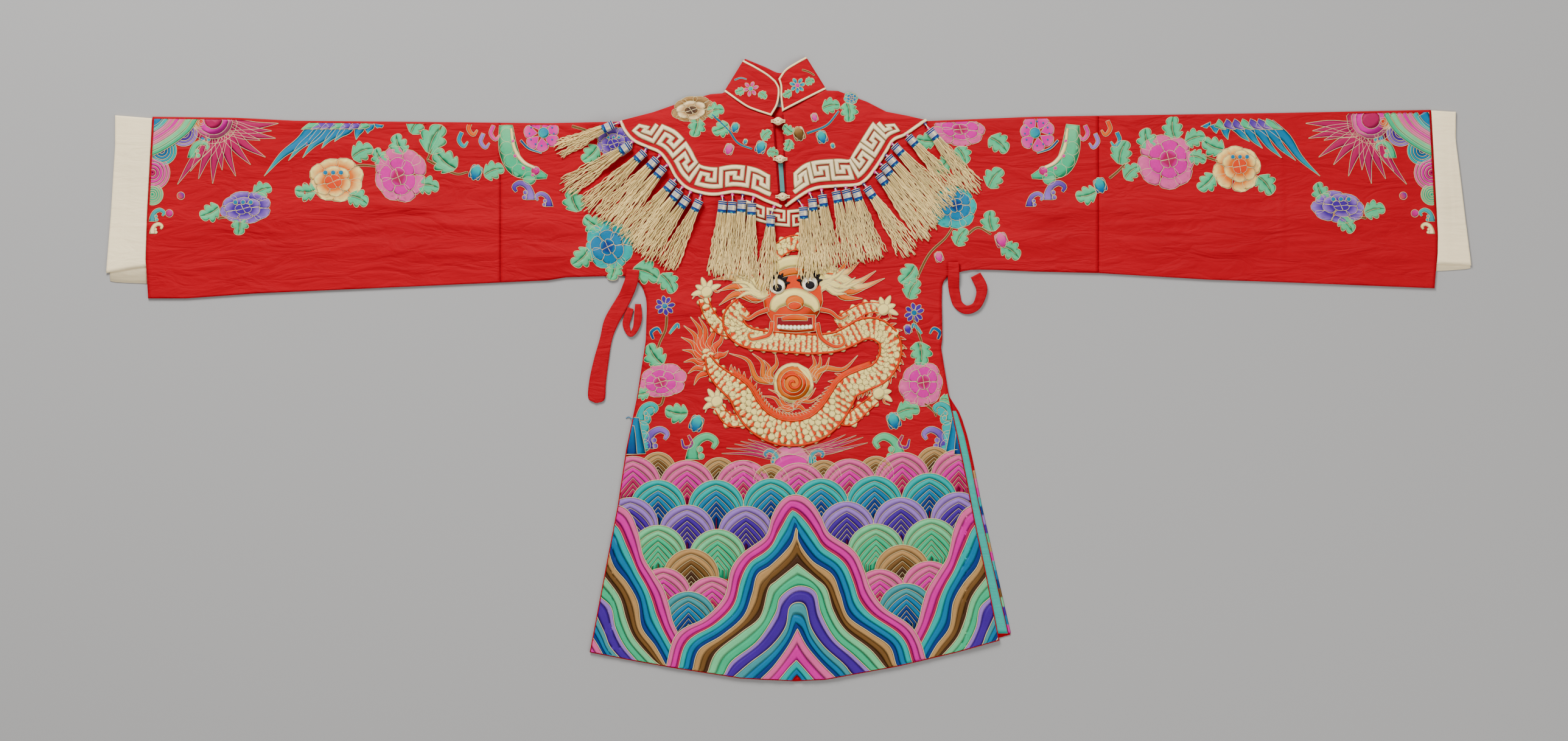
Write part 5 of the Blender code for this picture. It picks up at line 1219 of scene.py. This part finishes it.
def sunCorner(work, order):
    # Sun with rays and bands of cloud at the sleeve's end
    at = onSide(order, mirrorSum["sleeveEnd"])
    tips = [(-754, 363), (-764, 352), (-758, 341), (-781, 338), (-773, 313), (-795, 302), (-817, 285),
            (-837, 294), (-851, 274), (-872, 281), (-884, 292), (-903, 273)]
    for tip in tips:
        flame(work, at(-842, 358), at(*tip), 19.0, ("magenta", "magenta"), 0.2, 0.02)
    for radius, names, lift in ((36, ("magenta", "magenta"), 0.4), (29, ("lightPink", "lightPink"), 0.7),
                                (23, ("hotPink", "hotPink"), 1.0), (14, ("magenta", "magenta"), 1.3)):
        dot(work, at(-850, 369), radius, names, lift)
    # Clouds: rings of bands that lie over one another, the sleeve's end cutting them
    angle = np.linspace(0.0, 2 * np.pi, 26, endpoint=False)
    rim = np.column_stack([np.cos(angle), np.sin(angle)])
    for x, y, radius, names in ((-868, 366, 15, ("orange", "softOrange", "cream")),
                                (-894, 350, 21, ("purple", "purple", "lilac")),
                                (-940, 258, 16, ("green", "green", "paleGreen")),
                                (-940, 290, 26, ("magenta", "hotPink", "lightPink")),
                                (-926, 323, 22, ("navy", "blue", "turquoise"))):
        centre = np.array(at(x, y))
        for step in range(5):
            outer = centre + rim * (radius * (1.0 - step / 5.0))
            inner = centre + rim * (radius * (0.8 - step / 5.0) + 0.3)
            colour = shades(names[::-1], 5)[step]
            work.patch(between(outer, inner, 3), colour, 0.3, 0.4 + 0.2 * step, True)
            work.cord(outer, tint("cord"), 1.0, 0.3, 0.5 + 0.2 * step, True)
    # Bands across the corner, from the fold to the sleeve's end
    for shift, width, name in ((2, 16, "blue"), (14, 9, "turquoise"), (22, 8, "lightPink"), (30, 8, "hotPink"),
                               (38, 8, "lightPink"), (47, 10, "paleGreen"), (56, 8, "green")):
        points = [(-928 + shift, 378), (-937 + shift * 0.85, 366 - 0.25 * shift),
                  (-943 + shift * 0.35, 362 - 0.62 * shift), (-949, 358 - 0.75 * shift)]
        taper(work, [at(*point) for point in points], [width] * 4, (name, name), 1.5)
    for x, y, tall, names in ((-865, 336, 22, ("blue", "turquoise")), (-881, 312, 24, ("green", "paleGreen")),
                              (-940, 218, 18, ("greyTeal", "turquoise")), (-940, 200, 15, ("cream", "scale"))):
        crest(work, at(x, y), tall, order, names)
    for x, y, names in ((-898, 256, ("orange", "purple")), (-915, 230, ("magenta", "hotPink"))):
        dot(work, at(x, y), 5.7, names, 0.3)
    # Wing: long blue feathers from the fold, with small ones in purple and green over their roots
    for number, tip in enumerate([(-608, 356), (-622, 348), (-639, 339), (-671, 336), (-690, 326), (-718, 312),
                                  (-739, 308), (-775, 285)]):
        flame(work, at(-606 - 13.5 * number, 362), at(*tip), 16.0, ("blue", "blue", "turquoise"), 0.3, 0.03)
    for number in range(7):
        flame(work, at(-622 - 12 * number, 364), at(-636 - 14 * number, 354), 13.0,
              ("purple", "lilac") if number % 3 else ("green", "paleGreen"), 0.9, 0.02)


for side, order in (("Left", 1), ("Right", -1)):
    work = Needlework(robeTop, clipRobe)
    grow(work, garden["sleeve" + side])
    sunCorner(work, order)
    work.make("sleeveNeedlework" + side, "stitch")
work = Needlework(robeTop, clipRobe)
grow(work, garden["robe"])
for order in (1, -1):
    butterfly(work, order)
for order in (1, -1):
    at = onSide(order, mirrorSum["robe"])
    daisy(work, (-183, 93) if order > 0 else (185.4, 83), 15, "purple", "blue")
    for points, names in (([(-200, 44), (-203, 54), (-194, 60), (-188, 52)], ("navy", "blue")),
                          ([(-176, 52), (-170, 60), (-164, 66), (-162, 60)], ("turquoise", "blue")),
                          ([(-148, -98), (-142, -112), (-154, -116), (-158, -104)], ("magenta", "purple"))):
        taper(work, [at(*point) for point in points], [3.5, 5, 4.5, 2.5], names)
    for x, y, tall, names in ((-208, -118, 30, ("purple", "lilac")),
                              (-142, -134, 36, ("green", "paleGreen"))):
        crest(work, at(x, y), tall, order, names)
    # Tall crest at the side seam: turquoise foam over a blue and navy swell
    for x, y, radius in ((-206, -62, 8), (-212, -74, 9), (-215, -87, 9), (-215, -100, 9), (-213, -113, 9)):
        dot(work, at(x, y), radius, ("turquoise", "turquoise"), 0.3)
    crest(work, at(-219, -76), 25, order, ("turquoise", "turquoise"), 0.6)
    for step, names in enumerate((("blue", "blue"), ("navy", "blue"))):
        points = [at(-228 - 5 * step, -126), at(-229 - 4 * step, -100), at(-227 - 4 * step, -72 - 12 * step)]
        taper(work, points, [34 - 16 * step, 26 - 12 * step, 12 - 6 * step], names, 1.0 + 0.4 * step)
work.make("robeNeedlework", "stitch")
print("flowers sewn")

# Waves on the skirt: rows of arcs, each row laid over the one above, and the striped mountains over all
arcs = [
    ("brown", 26, [(-193, -123), (-103, -131), (-26, -141), (52, -135), (129, -129), (215, -115)]),
    ("pink", 41, [(-230, -129), (-150, -135), (-67, -135), (15, -139), (90, -133), (168, -123), (251, -119)]),
    ("turquoise", 41, [(-193, -164), (-107, -164), (-26, -162), (48, -162), (127, -158), (208, -154)]),
    ("purple", 41, [(-234, -190), (-150, -201), (-63, -203), (86, -196), (166, -190), (251, -182)]),
    ("green", 42, [(-193, -231), (-105, -237), (129, -229), (211, -221)]),
    ("brown", 41, [(-144, -266), (168, -260)]),
    ("pink", 41, [(-185, -294), (-113, -307), (135, -296), (208, -284)]),
    ("blue", 41, [(-148, -329), (174, -317)])]
arcColours = {"brown": ("tan", "brown", "darkBrown"), "pink": ("lightPink", "hotPink", "magenta"),
              "turquoise": ("turquoise", "blue", "navy"), "purple": ("lilac", "purple", "purple"),
              "green": ("paleGreen", "green", "green"), "blue": ("greyTeal", "blue", "navy")}


def waveArc(work, top, radius, kind, steps=7):
    # Line k starts 0.195 * radius * k below the top and its half width r shrinks by radius / 7.8 a line.
    # It falls by r * (1 - shape) * (1 + 0.25 * q), shape (1 - q) * sin a + q * (1 - abs cos a), so that it
    # turns from a half circle to a chevron as q grows; straight legs go to the feet, and the height falls
    # from the top to the feet, so that rows lap like tiles
    angle = np.linspace(0.0, np.pi, 25)
    centre = np.array([top[0], top[1] - radius])
    foot = 0.75 * radius

    def line(k):
        r = radius * (1.0 - k / 7.8) if k < steps else 0.3
        q = min(0.22 * k, 1.0)
        shape = (1.0 - q) * np.sin(angle) + q * (1.0 - np.abs(np.cos(angle)))
        y = radius * (1.0 - 0.195 * k) - r * (1.0 - shape) * (1.0 + 0.25 * q)
        x = np.concatenate([[r], r * np.cos(angle), [-r]])
        return np.column_stack([x, np.concatenate([[-foot], np.maximum(y, 0.5 - foot), [-foot]])]) + centre

    def rise(y):
        return 0.1 + 1.25 * np.clip((y - centre[1] + foot) / (radius + foot), 0.0, 1.0)

    for k in range(steps):
        outer = line(k)
        plan = between(outer, line(k + 1), 3)
        name = arcColours[kind][(k > 1) + (k > 3)]
        shade = tint(name) * (0.7 if kind == "purple" and k > 3 else 1.0)
        work.patch(plan, shade, 0.12, rise(plan[..., 1]), along=False)
        work.cord(outer, tint("cord"), 0.7 if k else 1.1, 0.2, rise(outer[:, 1:2]) + 0.1)


flanks = {
    "outer": ([(10, -186), (-3, -189), (-15, -200), (-25, -219), (-34, -247), (-67, -272), (-85, -296),
               (-95, -337), (-124, -368), (-156, -384), (-171, -402), (-181, -441)],
              [(10, -186), (23, -189), (36, -200), (48, -219), (60, -243), (96, -268), (111, -296),
               (121, -325), (141, -353), (178, -378), (194, -402), (203, -431)]),
    "tan": ([(11, -235), (3, -260), (-26, -290), (-46, -304), (-54, -333), (-67, -366), (-99, -394), (-132, -415),
             (-142, -445)],
            [(13, -235), (15, -256), (35, -284), (64, -304), (76, -333), (88, -366), (121, -390), (149, -410),
             (158, -435)]),
    "green": ([(13, -288), (-18, -313), (-30, -325), (-42, -366), (-71, -390), (-107, -419), (-120, -449)],
              [(13, -288), (39, -309), (56, -325), (66, -357), (84, -386), (121, -415), (141, -439)]),
    "purple": ([(13, -321), (-12, -337), (-20, -362), (-46, -402), (-83, -431), (-95, -451)],
               [(13, -321), (39, -329), (48, -362), (68, -398), (96, -423), (117, -443)]),
    "teal": ([(13, -345), (1, -353), (-5, -382), (-26, -410), (-58, -435), (-79, -453)],
             [(13, -345), (25, -351), (33, -382), (52, -410), (80, -435), (90, -447)]),
    "pink": ([(13, -384), (-1, -410), (-22, -439), (-40, -457)], [(13, -384), (27, -410), (48, -435), (66, -453)]),
    "sea": ([(11, -431), (1, -441), (-14, -459)], [(12, -431), (23, -443), (35, -457)]),
    "foot": ([(12, -452), (8, -456), (4, -462)], [(12, -452), (16, -456), (20, -462)])}
sideFlanks = {
    "outer": [(-256, -199), (-236, -211), (-223, -239), (-215, -276), (-201, -300), (-185, -325), (-177, -349),
              (-171, -374), (-160, -396), (-144, -419)],
    "tan": [(-268, -262), (-258, -292), (-238, -317), (-223, -345), (-217, -382), (-197, -410), (-181, -439)],
    "green": [(-274, -304), (-250, -337), (-240, -370), (-228, -398), (-203, -427), (-189, -439)],
    "purple": [(-278, -337), (-262, -353), (-256, -382), (-242, -410), (-223, -433)],
    "teal": [(-285, -362), (-272, -390), (-264, -410), (-248, -429)],
    "pink": [(-291, -394), (-281, -410), (-272, -427)],
    "sea": [(-300, -410), (-297, -418), (-292, -426)]}
stripes = {
    "outer": [("lightPink", 0.17), ("hotPink", 0.2), ("magenta", 0.09), (None, 0), ("turquoise", 0.2),
              ("blue", 0.2), ("navy", 0.14)],
    "tan": [("tan", 0.42), ("brown", 0.34), ("darkBrown", 0.24)],
    "green": [("paleGreen", 0.5), ("green", 0.5)],
    "purple": [("lilac", 0.3), ("purple", 0.7)],
    "teal": [("greyTeal", 0.4), ("blue", 0.35), ("navy", 0.25)],
    "pink": [("lightPink", 0.5), ("hotPink", 0.5)],
    "sea": [("turquoise", 0.6), ("blue", 0.4)]}


def longer(points, both=False):
    # Carries a curve on past its end, so that the clip cuts it at the hem or seam
    points = [np.array(p, dtype=float) for p in points]
    points = points + [points[-1] + (points[-1] - points[-2]) * 0.7]
    return [points[0] + (points[0] - points[1]) * 0.9] + points if both else points


def striped(work, lines, lift):
    names = list(lines)
    for upper, lower in zip(names[:-1], names[1:]):
        share, total = 0.0, sum(part for name, part in stripes[upper])
        work.cord(lines[upper], tint("cord"), 1.4, 0.4, lift + 0.35)
        for name, part in stripes[upper]:
            if name is None:
                middle = lines[upper] * (1 - share) + lines[lower] * share
                work.cord(middle, tint("cord"), 1.3, 0.4, lift + 0.35)
                continue
            reach = share + part / total
            a, b = (lines[upper] * (1 - s) + lines[lower] * s for s in (share, reach))
            work.patch(between(a, b, 4), tint(name), 0.12, lift, along=False)
            share = reach


work = Needlework(robeTop, clipRobe)
for kind, radius, tops in arcs:
    for top in tops:
        waveArc(work, top, radius, kind)
work.make("skirtWaves", "stitch")
work = Needlework(robeTop, clipRobe)
for order in (1, -1):
    lines = {name: evenCurve(longer(points, True), 90) for name, points in sideFlanks.items()}
    if order < 0:
        lines = {name: line * [-1, 1] + [mirrorSum["robe"], 0] for name, line in lines.items()}
    striped(work, lines, 1.6)
lines = {}
for name, (left, right) in flanks.items():
    if name in ("outer", "teal", "purple"):
        lines[name] = evenCurve(longer(left)[::-1] + longer(right)[left[0] == right[0]:], 139)
    else:
        lines[name] = np.vstack([evenCurve(longer(left), 70)[::-1], evenCurve(longer(right), 70)[1:]])
striped(work, lines, 2.4)
work.make("skirtMountains", "stitch")
print("waves sewn")

# Dragon: the body's line from tail to neck, columns x, y, width
dragon = {
    "body": [(-120, 20, 7), (-111, 0, 18), (-95, -17, 26), (-74, -34, 31), (-62, -55, 33), (-47, -75, 34),
             (-23, -90, 34), (7, -95, 34), (38, -88, 34), (61, -70, 34), (76, -48, 33), (88, -28, 31),
             (109, -17, 30), (132, -7, 29), (146, 10, 29), (151, 30, 29), (146, 47, 29), (129, 59, 29),
             (109, 59, 28), (92, 50, 27), (68, 40, 26), (34, 37, 26), (0, 39, 26), (-34, 42, 27), (-61, 47, 28),
             (-78, 60, 29), (-81, 77, 29), (-67, 92, 28)],
    "arch": [(-24, 150, 17), (-16, 174, 19), (10, 187, 20), (32, 174, 19), (40, 152, 17)],
    "legs": [[(-126, 104, 13), (-118, 82, 15), (-102, 62, 17), (-84, 56, 18)],
             [(136, 90, 13), (114, 90, 15), (90, 78, 17), (72, 66, 18)],
             [(-104, -56, 12), (-90, -74, 15), (-74, -76, 17), (-56, -70, 18)],
             [(128, -44, 12), (108, -60, 15), (90, -74, 17), (70, -70, 18)]],
    "claws": [(-121, 114, 1.9), (140, 88, 1.1), (-106, -48, 2.2), (133, -36, 0.9)],
    "tail": [(-155, 64), (-159, 47), (-157, 28), (-155, 10), (-149, -7), (-145, 77), (-133, 77), (-115, 74),
             (-98, 57), (-89, 27), (-140, -24)],
    "mane": [(-105, 115), (-112, 132), (-103, 94), (-98, 142), (-86, 156), (129, 145), (119, 121), (142, 134),
             (109, 104), (104, 158), (88, 164)],
    "pearl": (7, -21), "face": (6, 113)}
scaleSize = {"step": 7.8, "length": 13.5, "width": 12.6}


def scales(work, line, lift):
    # Rows of overlapping scales across a body of changing width, each pointing to the tail
    length = np.linalg.norm(np.diff(np.array(line)[:, :2], axis=0), axis=1).sum()
    count = int(length / scaleSize["step"])
    path = evenCurve(line, count)
    side = leftOf(path)
    angle = np.arctan2(side[:, 1], side[:, 0]) + np.pi / 2
    for number in range(count - 1, -1, -1):
        lanes = max(int(round(path[number, 2] / 10.0)), 1)
        for lane in range(lanes + number % 2):
            off = (lane - (lanes - 1 + number % 2) * 0.5) * path[number, 2] / (lanes + 0.35)
            grid = petalGrid(-0.2 * scaleSize["length"], scaleSize["length"], scaleSize["width"], 1.8, 0.0, 7, 5)
            plan = place(grid, path[number, :2] + side[number] * off, angle[number])
            rise = lift + 0.30 * np.linspace(0.0, 1.0, 7)[:, None]
            base = rng.choice(["orange", "scale"])
            names = ("orange", "orange", base, base, "scale", "scale", "scale")
            work.patch(plan, shades(names, 7)[:, None], 0.05, rise)
            rim = np.vstack([plan[2:, 0], plan[-1:, 2], plan[:1:-1, -1]])
            work.cord(rim, tint("keyEdge"), 0.6, 0.1, rise[3:].mean() + 0.08)


def bodyPart(work, line, lift, strong=True):
    path = evenCurve(line, 90 if len(line) > 8 else 24)
    half = leftOf(path) * path[:, 2:3] * 0.5
    sewn(work, between(path[:, :2] + half, path[:, :2] - half, 6), ("softOrange", "scale", "scale"), lift)
    scales(work, line, lift + 0.35)
    for sign in (-1.0, 1.0):
        edge = path[:, :2] + half * sign * 1.08
        work.cord(edge, tint("orange"), 3.4 if strong else 2.2, 0.4, lift + 0.75)
    return path, half


work = Needlework(robeTop, clipRobe)
for tip in dragon["tail"]:
    away = np.array(tip) - [-112, 12]
    flame(work, np.array([-112, 12]) + away * 0.15, tip, 11.0, ("orange", "orange", "softOrange"), 0.3, 0.09)
for line in dragon["legs"]:
    bodyPart(work, line, 0.3, False)
path, half = bodyPart(work, dragon["body"], 0.7)
# Teeth along the belly, then along the back
for k in range(6, 60):
    sign = 1.0 if k < 40 else -1.0
    root = path[k, :2] + half[k] * sign * (1.42 if sign > 0 else 1.12)
    tip = root + half[k] / np.linalg.norm(half[k]) * sign * 6.5
    along = path[k + 1, :2] - path[k, :2]
    flame(work, root, tip - along * 0.7, 4.6, ("orange", "orange"), 0.75, 0.0)
belly = path[6:46, :2] + half[6:46] * 1.30
work.patch(ribbon(belly, 8.4, 4), tint("orange"), 0.25, 1.1)
bodyPart(work, dragon["arch"], 0.5, False)
for x, y, turn in dragon["claws"]:
    for k in range(5):
        lean = turn + (k - 2) * 0.62
        grid = petalGrid(0.0, 19.0 if k % 2 else 23.0, 8.0, 1.1, 0.10 * (k - 2))
        sewn(work, place(grid, (x, y), lean), ("scale", "scale", "scale"), 0.9 + 0.2 * (k % 2))
    dot(work, (x, y), 8.5, ("scale", "scale"), 1.4)
    for k in (-1, 1):
        tip = np.array([x, y]) + np.array([np.cos(turn + k * 1.7), np.sin(turn + k * 1.7)]) * 24
        flame(work, (x, y), tip, 5.0, ("orange", "softOrange"), 0.7, 0.2)
work.make("dragonBody", "stitch")

work = Needlework(robeTop, clipRobe)
faceX, faceY = dragon["face"]
for number, tip in enumerate(dragon["mane"]):
    root = np.array([faceX + (34 if tip[0] > 0 else -34), faceY + 4.0 + 3.0 * (number % 5)])
    names = ("scale", "scale", "orange") if number % 2 else ("orange", "softOrange")
    flame(work, root, tip, 18.0, names, 0.6, 0.12)
    flame(work, root + [0.0, -5.0], root + (np.array(tip) - root) * 0.66, 11.0, ("scale", "scale"), 1.0, 0.1)
dot(work, (faceX, faceY - 6), 45, ("orange", "orange"), 1.1, 1.1)
for points, width, names in (
        ([(-30, 133), (-15, 152), (9, 159), (33, 153), (42, 138)], 15, ("scale", "scale")),
        ([(-26, 124), (-12, 139), (9, 145), (30, 140), (40, 130)], 10, ("softOrange", "softOrange")),
        ([(-24, 86), (-16, 99), (9, 108), (34, 99), (42, 86)], 19, ("scale", "scale"))):
    taper(work, points, [width * 0.5, width, width * 1.2, width, width * 0.5], names, 1.5)
for x, y in ((-17, 124), (31, 128)):
    dot(work, (x, y + 2.0), 15.0, ("black", "black"), 1.8, 0.95, None)
    dot(work, (x, y - 2.0), 11.8, ("white", "white"), 2.1, 0.95)
    dot(work, (x + 0.5, y - 4.0), 7.0, ("black", "black"), 2.5, 0.85, None)
    for k in range(7):
        grid = petalGrid(11.0, 9.0, 4.2, 0.8)
        sewn(work, place(grid, (x, y), 0.2 + k * 0.46), ("black", "black"), 2.2, None)
dot(work, (9, 98), 14, ("softOrange", "softOrange"), 2.3, 0.8)
dot(work, (9, 93), 10, ("orange", "orange"), 2.6, 0.6)
taper(work, [(-22, 68), (9, 67), (40, 68)], [24, 27, 24], ("orange", "orange"), 1.8)
taper(work, [(-17, 68), (9, 67), (35, 68)], [16, 19, 16], ("deepRed", "deepRed"), 2.1)
taper(work, [(-10, 74), (9, 76), (28, 74)], [6, 9, 6], ("orange", "softOrange"), 2.4)
for k in range(9):
    dot(work, (-14 + k * 5.8, 61.5 + 0.05 * (k - 4) ** 2), 3.1, ("white", "white"), 2.5)
for points in ([(-24, 70), (-28, 52), (-42, 46), (-56, 44), (-59, 52), (-51, 53)],
               [(42, 68), (48, 46), (68, 33), (82, 38), (77, 51), (66, 49)],
               [(-30, 88), (-46, 82), (-60, 74), (-70, 80)], [(46, 88), (62, 84), (76, 74), (88, 80)]):
    taper(work, points, np.linspace(7.0, 3.0, len(points)), ("orange", "orange", "softOrange"), 1.9)
pearlX, pearlY = dragon["pearl"]
for radius, name, lift in ((30, "scale", 0.5), (25.5, "softOrange", 0.9), (19.5, "orange", 1.3),
                           (14, "softOrange", 1.6)):
    dot(work, (pearlX, pearlY), radius, (name, name), lift)
turns = np.linspace(0.6, 9.0, 40)
spiral = np.column_stack([pearlX + 1.6 * turns * np.cos(turns), pearlY + 1.6 * turns * np.sin(turns)])
work.cord(spiral, tint("orange"), 4.2, 0.8, 2.0)
for tip in ((-88, 23), (-54, 23), (-37, 13), (-20, 23), (34, 23), (46, 23), (60, 17), (102, 20)):
    side = -1 if tip[0] < 7 else 1
    flame(work, (pearlX + side * 30, pearlY + 2), tip, 9.0, ("softOrange", "softOrange", "orange"), 0.4, 0.12)
for tip in ((-40, -40), (-30, -30), (48, -38), (40, -28), (-22, -62), (36, -62)):
    flame(work, (pearlX, pearlY - 36), tip, 7.0, ("orange", "softOrange"), 0.3, 0.1)
for tip in ((-99, -125), (-92, -117), (-80, -111), (-71, -107), (-60, -104), (117, -109), (110, -101),
            (100, -98), (84, -97), (96, -116), (80, -121)):
    flame(work, (7.5, -130), tip, 8.0, ("magenta", "magenta"), 0.15, 0.02, 0.5)
# The lotus stands behind the first row of arcs
dot(work, (4, -139), 31, ("lightPink", "lightPink"), 0.3, 0.86)
dot(work, (4, -142), 26, ("hotPink", "hotPink"), 0.6, 0.60)
crest(work, (-16, -140), 20, -1, ("turquoise", "blue"))
crest(work, (32, -140), 20, 1, ("turquoise", "blue"))
work.make("dragonFace", "stitch")
print("dragon sewn")

# Cape and collar flowers
capeBeds = {
    "flowers": [("brown", -141, 384, 62, 38), ("teal", 92, 400, 20, 18)],
    "leaves": [(-109, 380, 22), (-138, 358, 24), (-100, 356, 22), (-33, 345, 15), (-24, 319, 14), (0, 354, 15),
               (-1, 331, 15), (62, 387, 22), (87, 380, 24)],
    "buds": [("teal", -79, 357, 8.4), ("pink", -88, 325, 9.5), ("teal", -64, 336, 4.5), ("teal", -41, 328, 11),
             ("brown", 15, 348, 12), ("pink", 38, 372, 7.2), ("teal", 49, 343, 11), ("teal", 65, 330, 4.5)],
    "stems": [[(-115, 378), (-90, 354), (-75, 334), (-54, 325)], [(27, 348), (56, 360), (74, 381)]]}
work = Needlework(capeTop)
grow(work, capeBeds)
for points in capeBeds["stems"]:
    work.cord(evenCurve(points, 30), tint("blue"), 2.4, 0.6, 0.4)
work.make("capeNeedlework", "stitch")
work = Needlework(collarTop)
stem(work, [(-80, 427), (-71, 430), (-62, 428)], 2.4, ("blue", "blue"))
daisy(work, (-56, 414), 11.5, "pink", "turquoise", 6)
daisy(work, (13, 419), 12.0, "teal", "hotPink", 7)
stem(work, [(20, 442), (30, 439), (38, 434)], 2.6)
for x, y, turn in ((-39, 404, -0.6), (-2, 407, 3.6), (31, 424, 0.3), (-72, 411, 3.4)):
    leaf(work, (x, y), 13, turn)
work.make("collarNeedlework", "stitch")
# The back panel's own waves, a sliver past the slit facing, and a loose blue thread at the left seam
sliverY = np.linspace(-150.0, -390.5, 90)
sliver = np.column_stack([readEdge("sideRightBack", sliverY) - 2.2, sliverY])
work = Needlework(lambda x, y: 1.4 + 0.0 * x)
sliverNames = ("tan", "lightPink", "hotPink", "turquoise", "navy", "lilac", "purple", "green", "tan", "hotPink",
               "turquoise", "blue", "navy", "brown", "paleGreen", "purple", "blue", "hotPink")
picks = np.array([tint(name) for name in sliverNames])[np.arange(90) // 5]
work.patch(ribbon(sliver, 3.6, 4), picks[:, None], 0.3, 0.15, along=False)
work.make("backNeedlework", "stitch")
work = Needlework(robeTop)
looseEnd = [(-226, -72, 3.9), (-232, -73.5, 3.4), (-236, -71, 1.6), (-240.5, -73, 0.8)]
addTube(work, evenCurve(looseEnd, 16), 0.55, 6, tint("blue"))
work.make("looseThread", "stitch")
print("cape and collar sewn")

# Floor, light and camera
view = {"centre": (-0.0069, -0.00225), "width": 2.318, "height": 6.0, "sensor": 36.0, "floorReach": 30}
reach = view["floorReach"]
floorMesh = bpy.data.meshes.new("floor")
floorMesh.from_pydata([(-reach, -reach, 0), (reach, -reach, 0), (reach, reach, 0), (-reach, reach, 0)], [],
                      [(0, 1, 2, 3)])
floor = bpy.data.objects.new("floor", floorMesh)
bpy.context.scene.collection.objects.link(floor)
floorMaterial = bpy.data.materials.new("paleFloor")
floorMaterial.use_nodes = True
floorShader = floorMaterial.node_tree.nodes["Principled BSDF"]
floorShader.inputs["Base Color"].default_value = (0.315, 0.308, 0.302, 1)
floorShader.inputs["Roughness"].default_value = 0.9
floorMesh.materials.append(floorMaterial)


def areaLight(name, place, aim, size, power):
    data = bpy.data.lights.new(name, "AREA")
    data.shape, data.size, data.energy = "DISK", size, power
    light = bpy.data.objects.new(name, data)
    light.location = place
    away = np.array(aim, dtype=float) - np.array(place)
    tilt = np.arctan2(np.hypot(away[0], away[1]), -away[2])
    light.rotation_euler = (tilt, 0.0, np.arctan2(-away[0], away[1]))
    bpy.context.scene.collection.objects.link(light)


areaLight("softKey", (-1.1, 3.0, 2.5), (0, 0, 0), 1.8, 260.0)
areaLight("softFill", (2.2, -2.0, 3.2), (0, 0, 0), 2.8, 85.0)
world = bpy.data.worlds.new("studio")
world.use_nodes = True
background = world.node_tree.nodes["Background"]
background.inputs["Color"].default_value = (1.0, 1.0, 1.0, 1.0)
background.inputs["Strength"].default_value = 0.55
bpy.context.scene.world = world
cameraData = bpy.data.cameras.new("camera")
cameraData.sensor_width = view["sensor"]
cameraData.lens = view["sensor"] * view["height"] / view["width"]
camera = bpy.data.objects.new("camera", cameraData)
camera.location = (*view["centre"], view["height"])
bpy.context.scene.collection.objects.link(camera)
bpy.context.scene.camera = camera
print("floor, light and camera set")
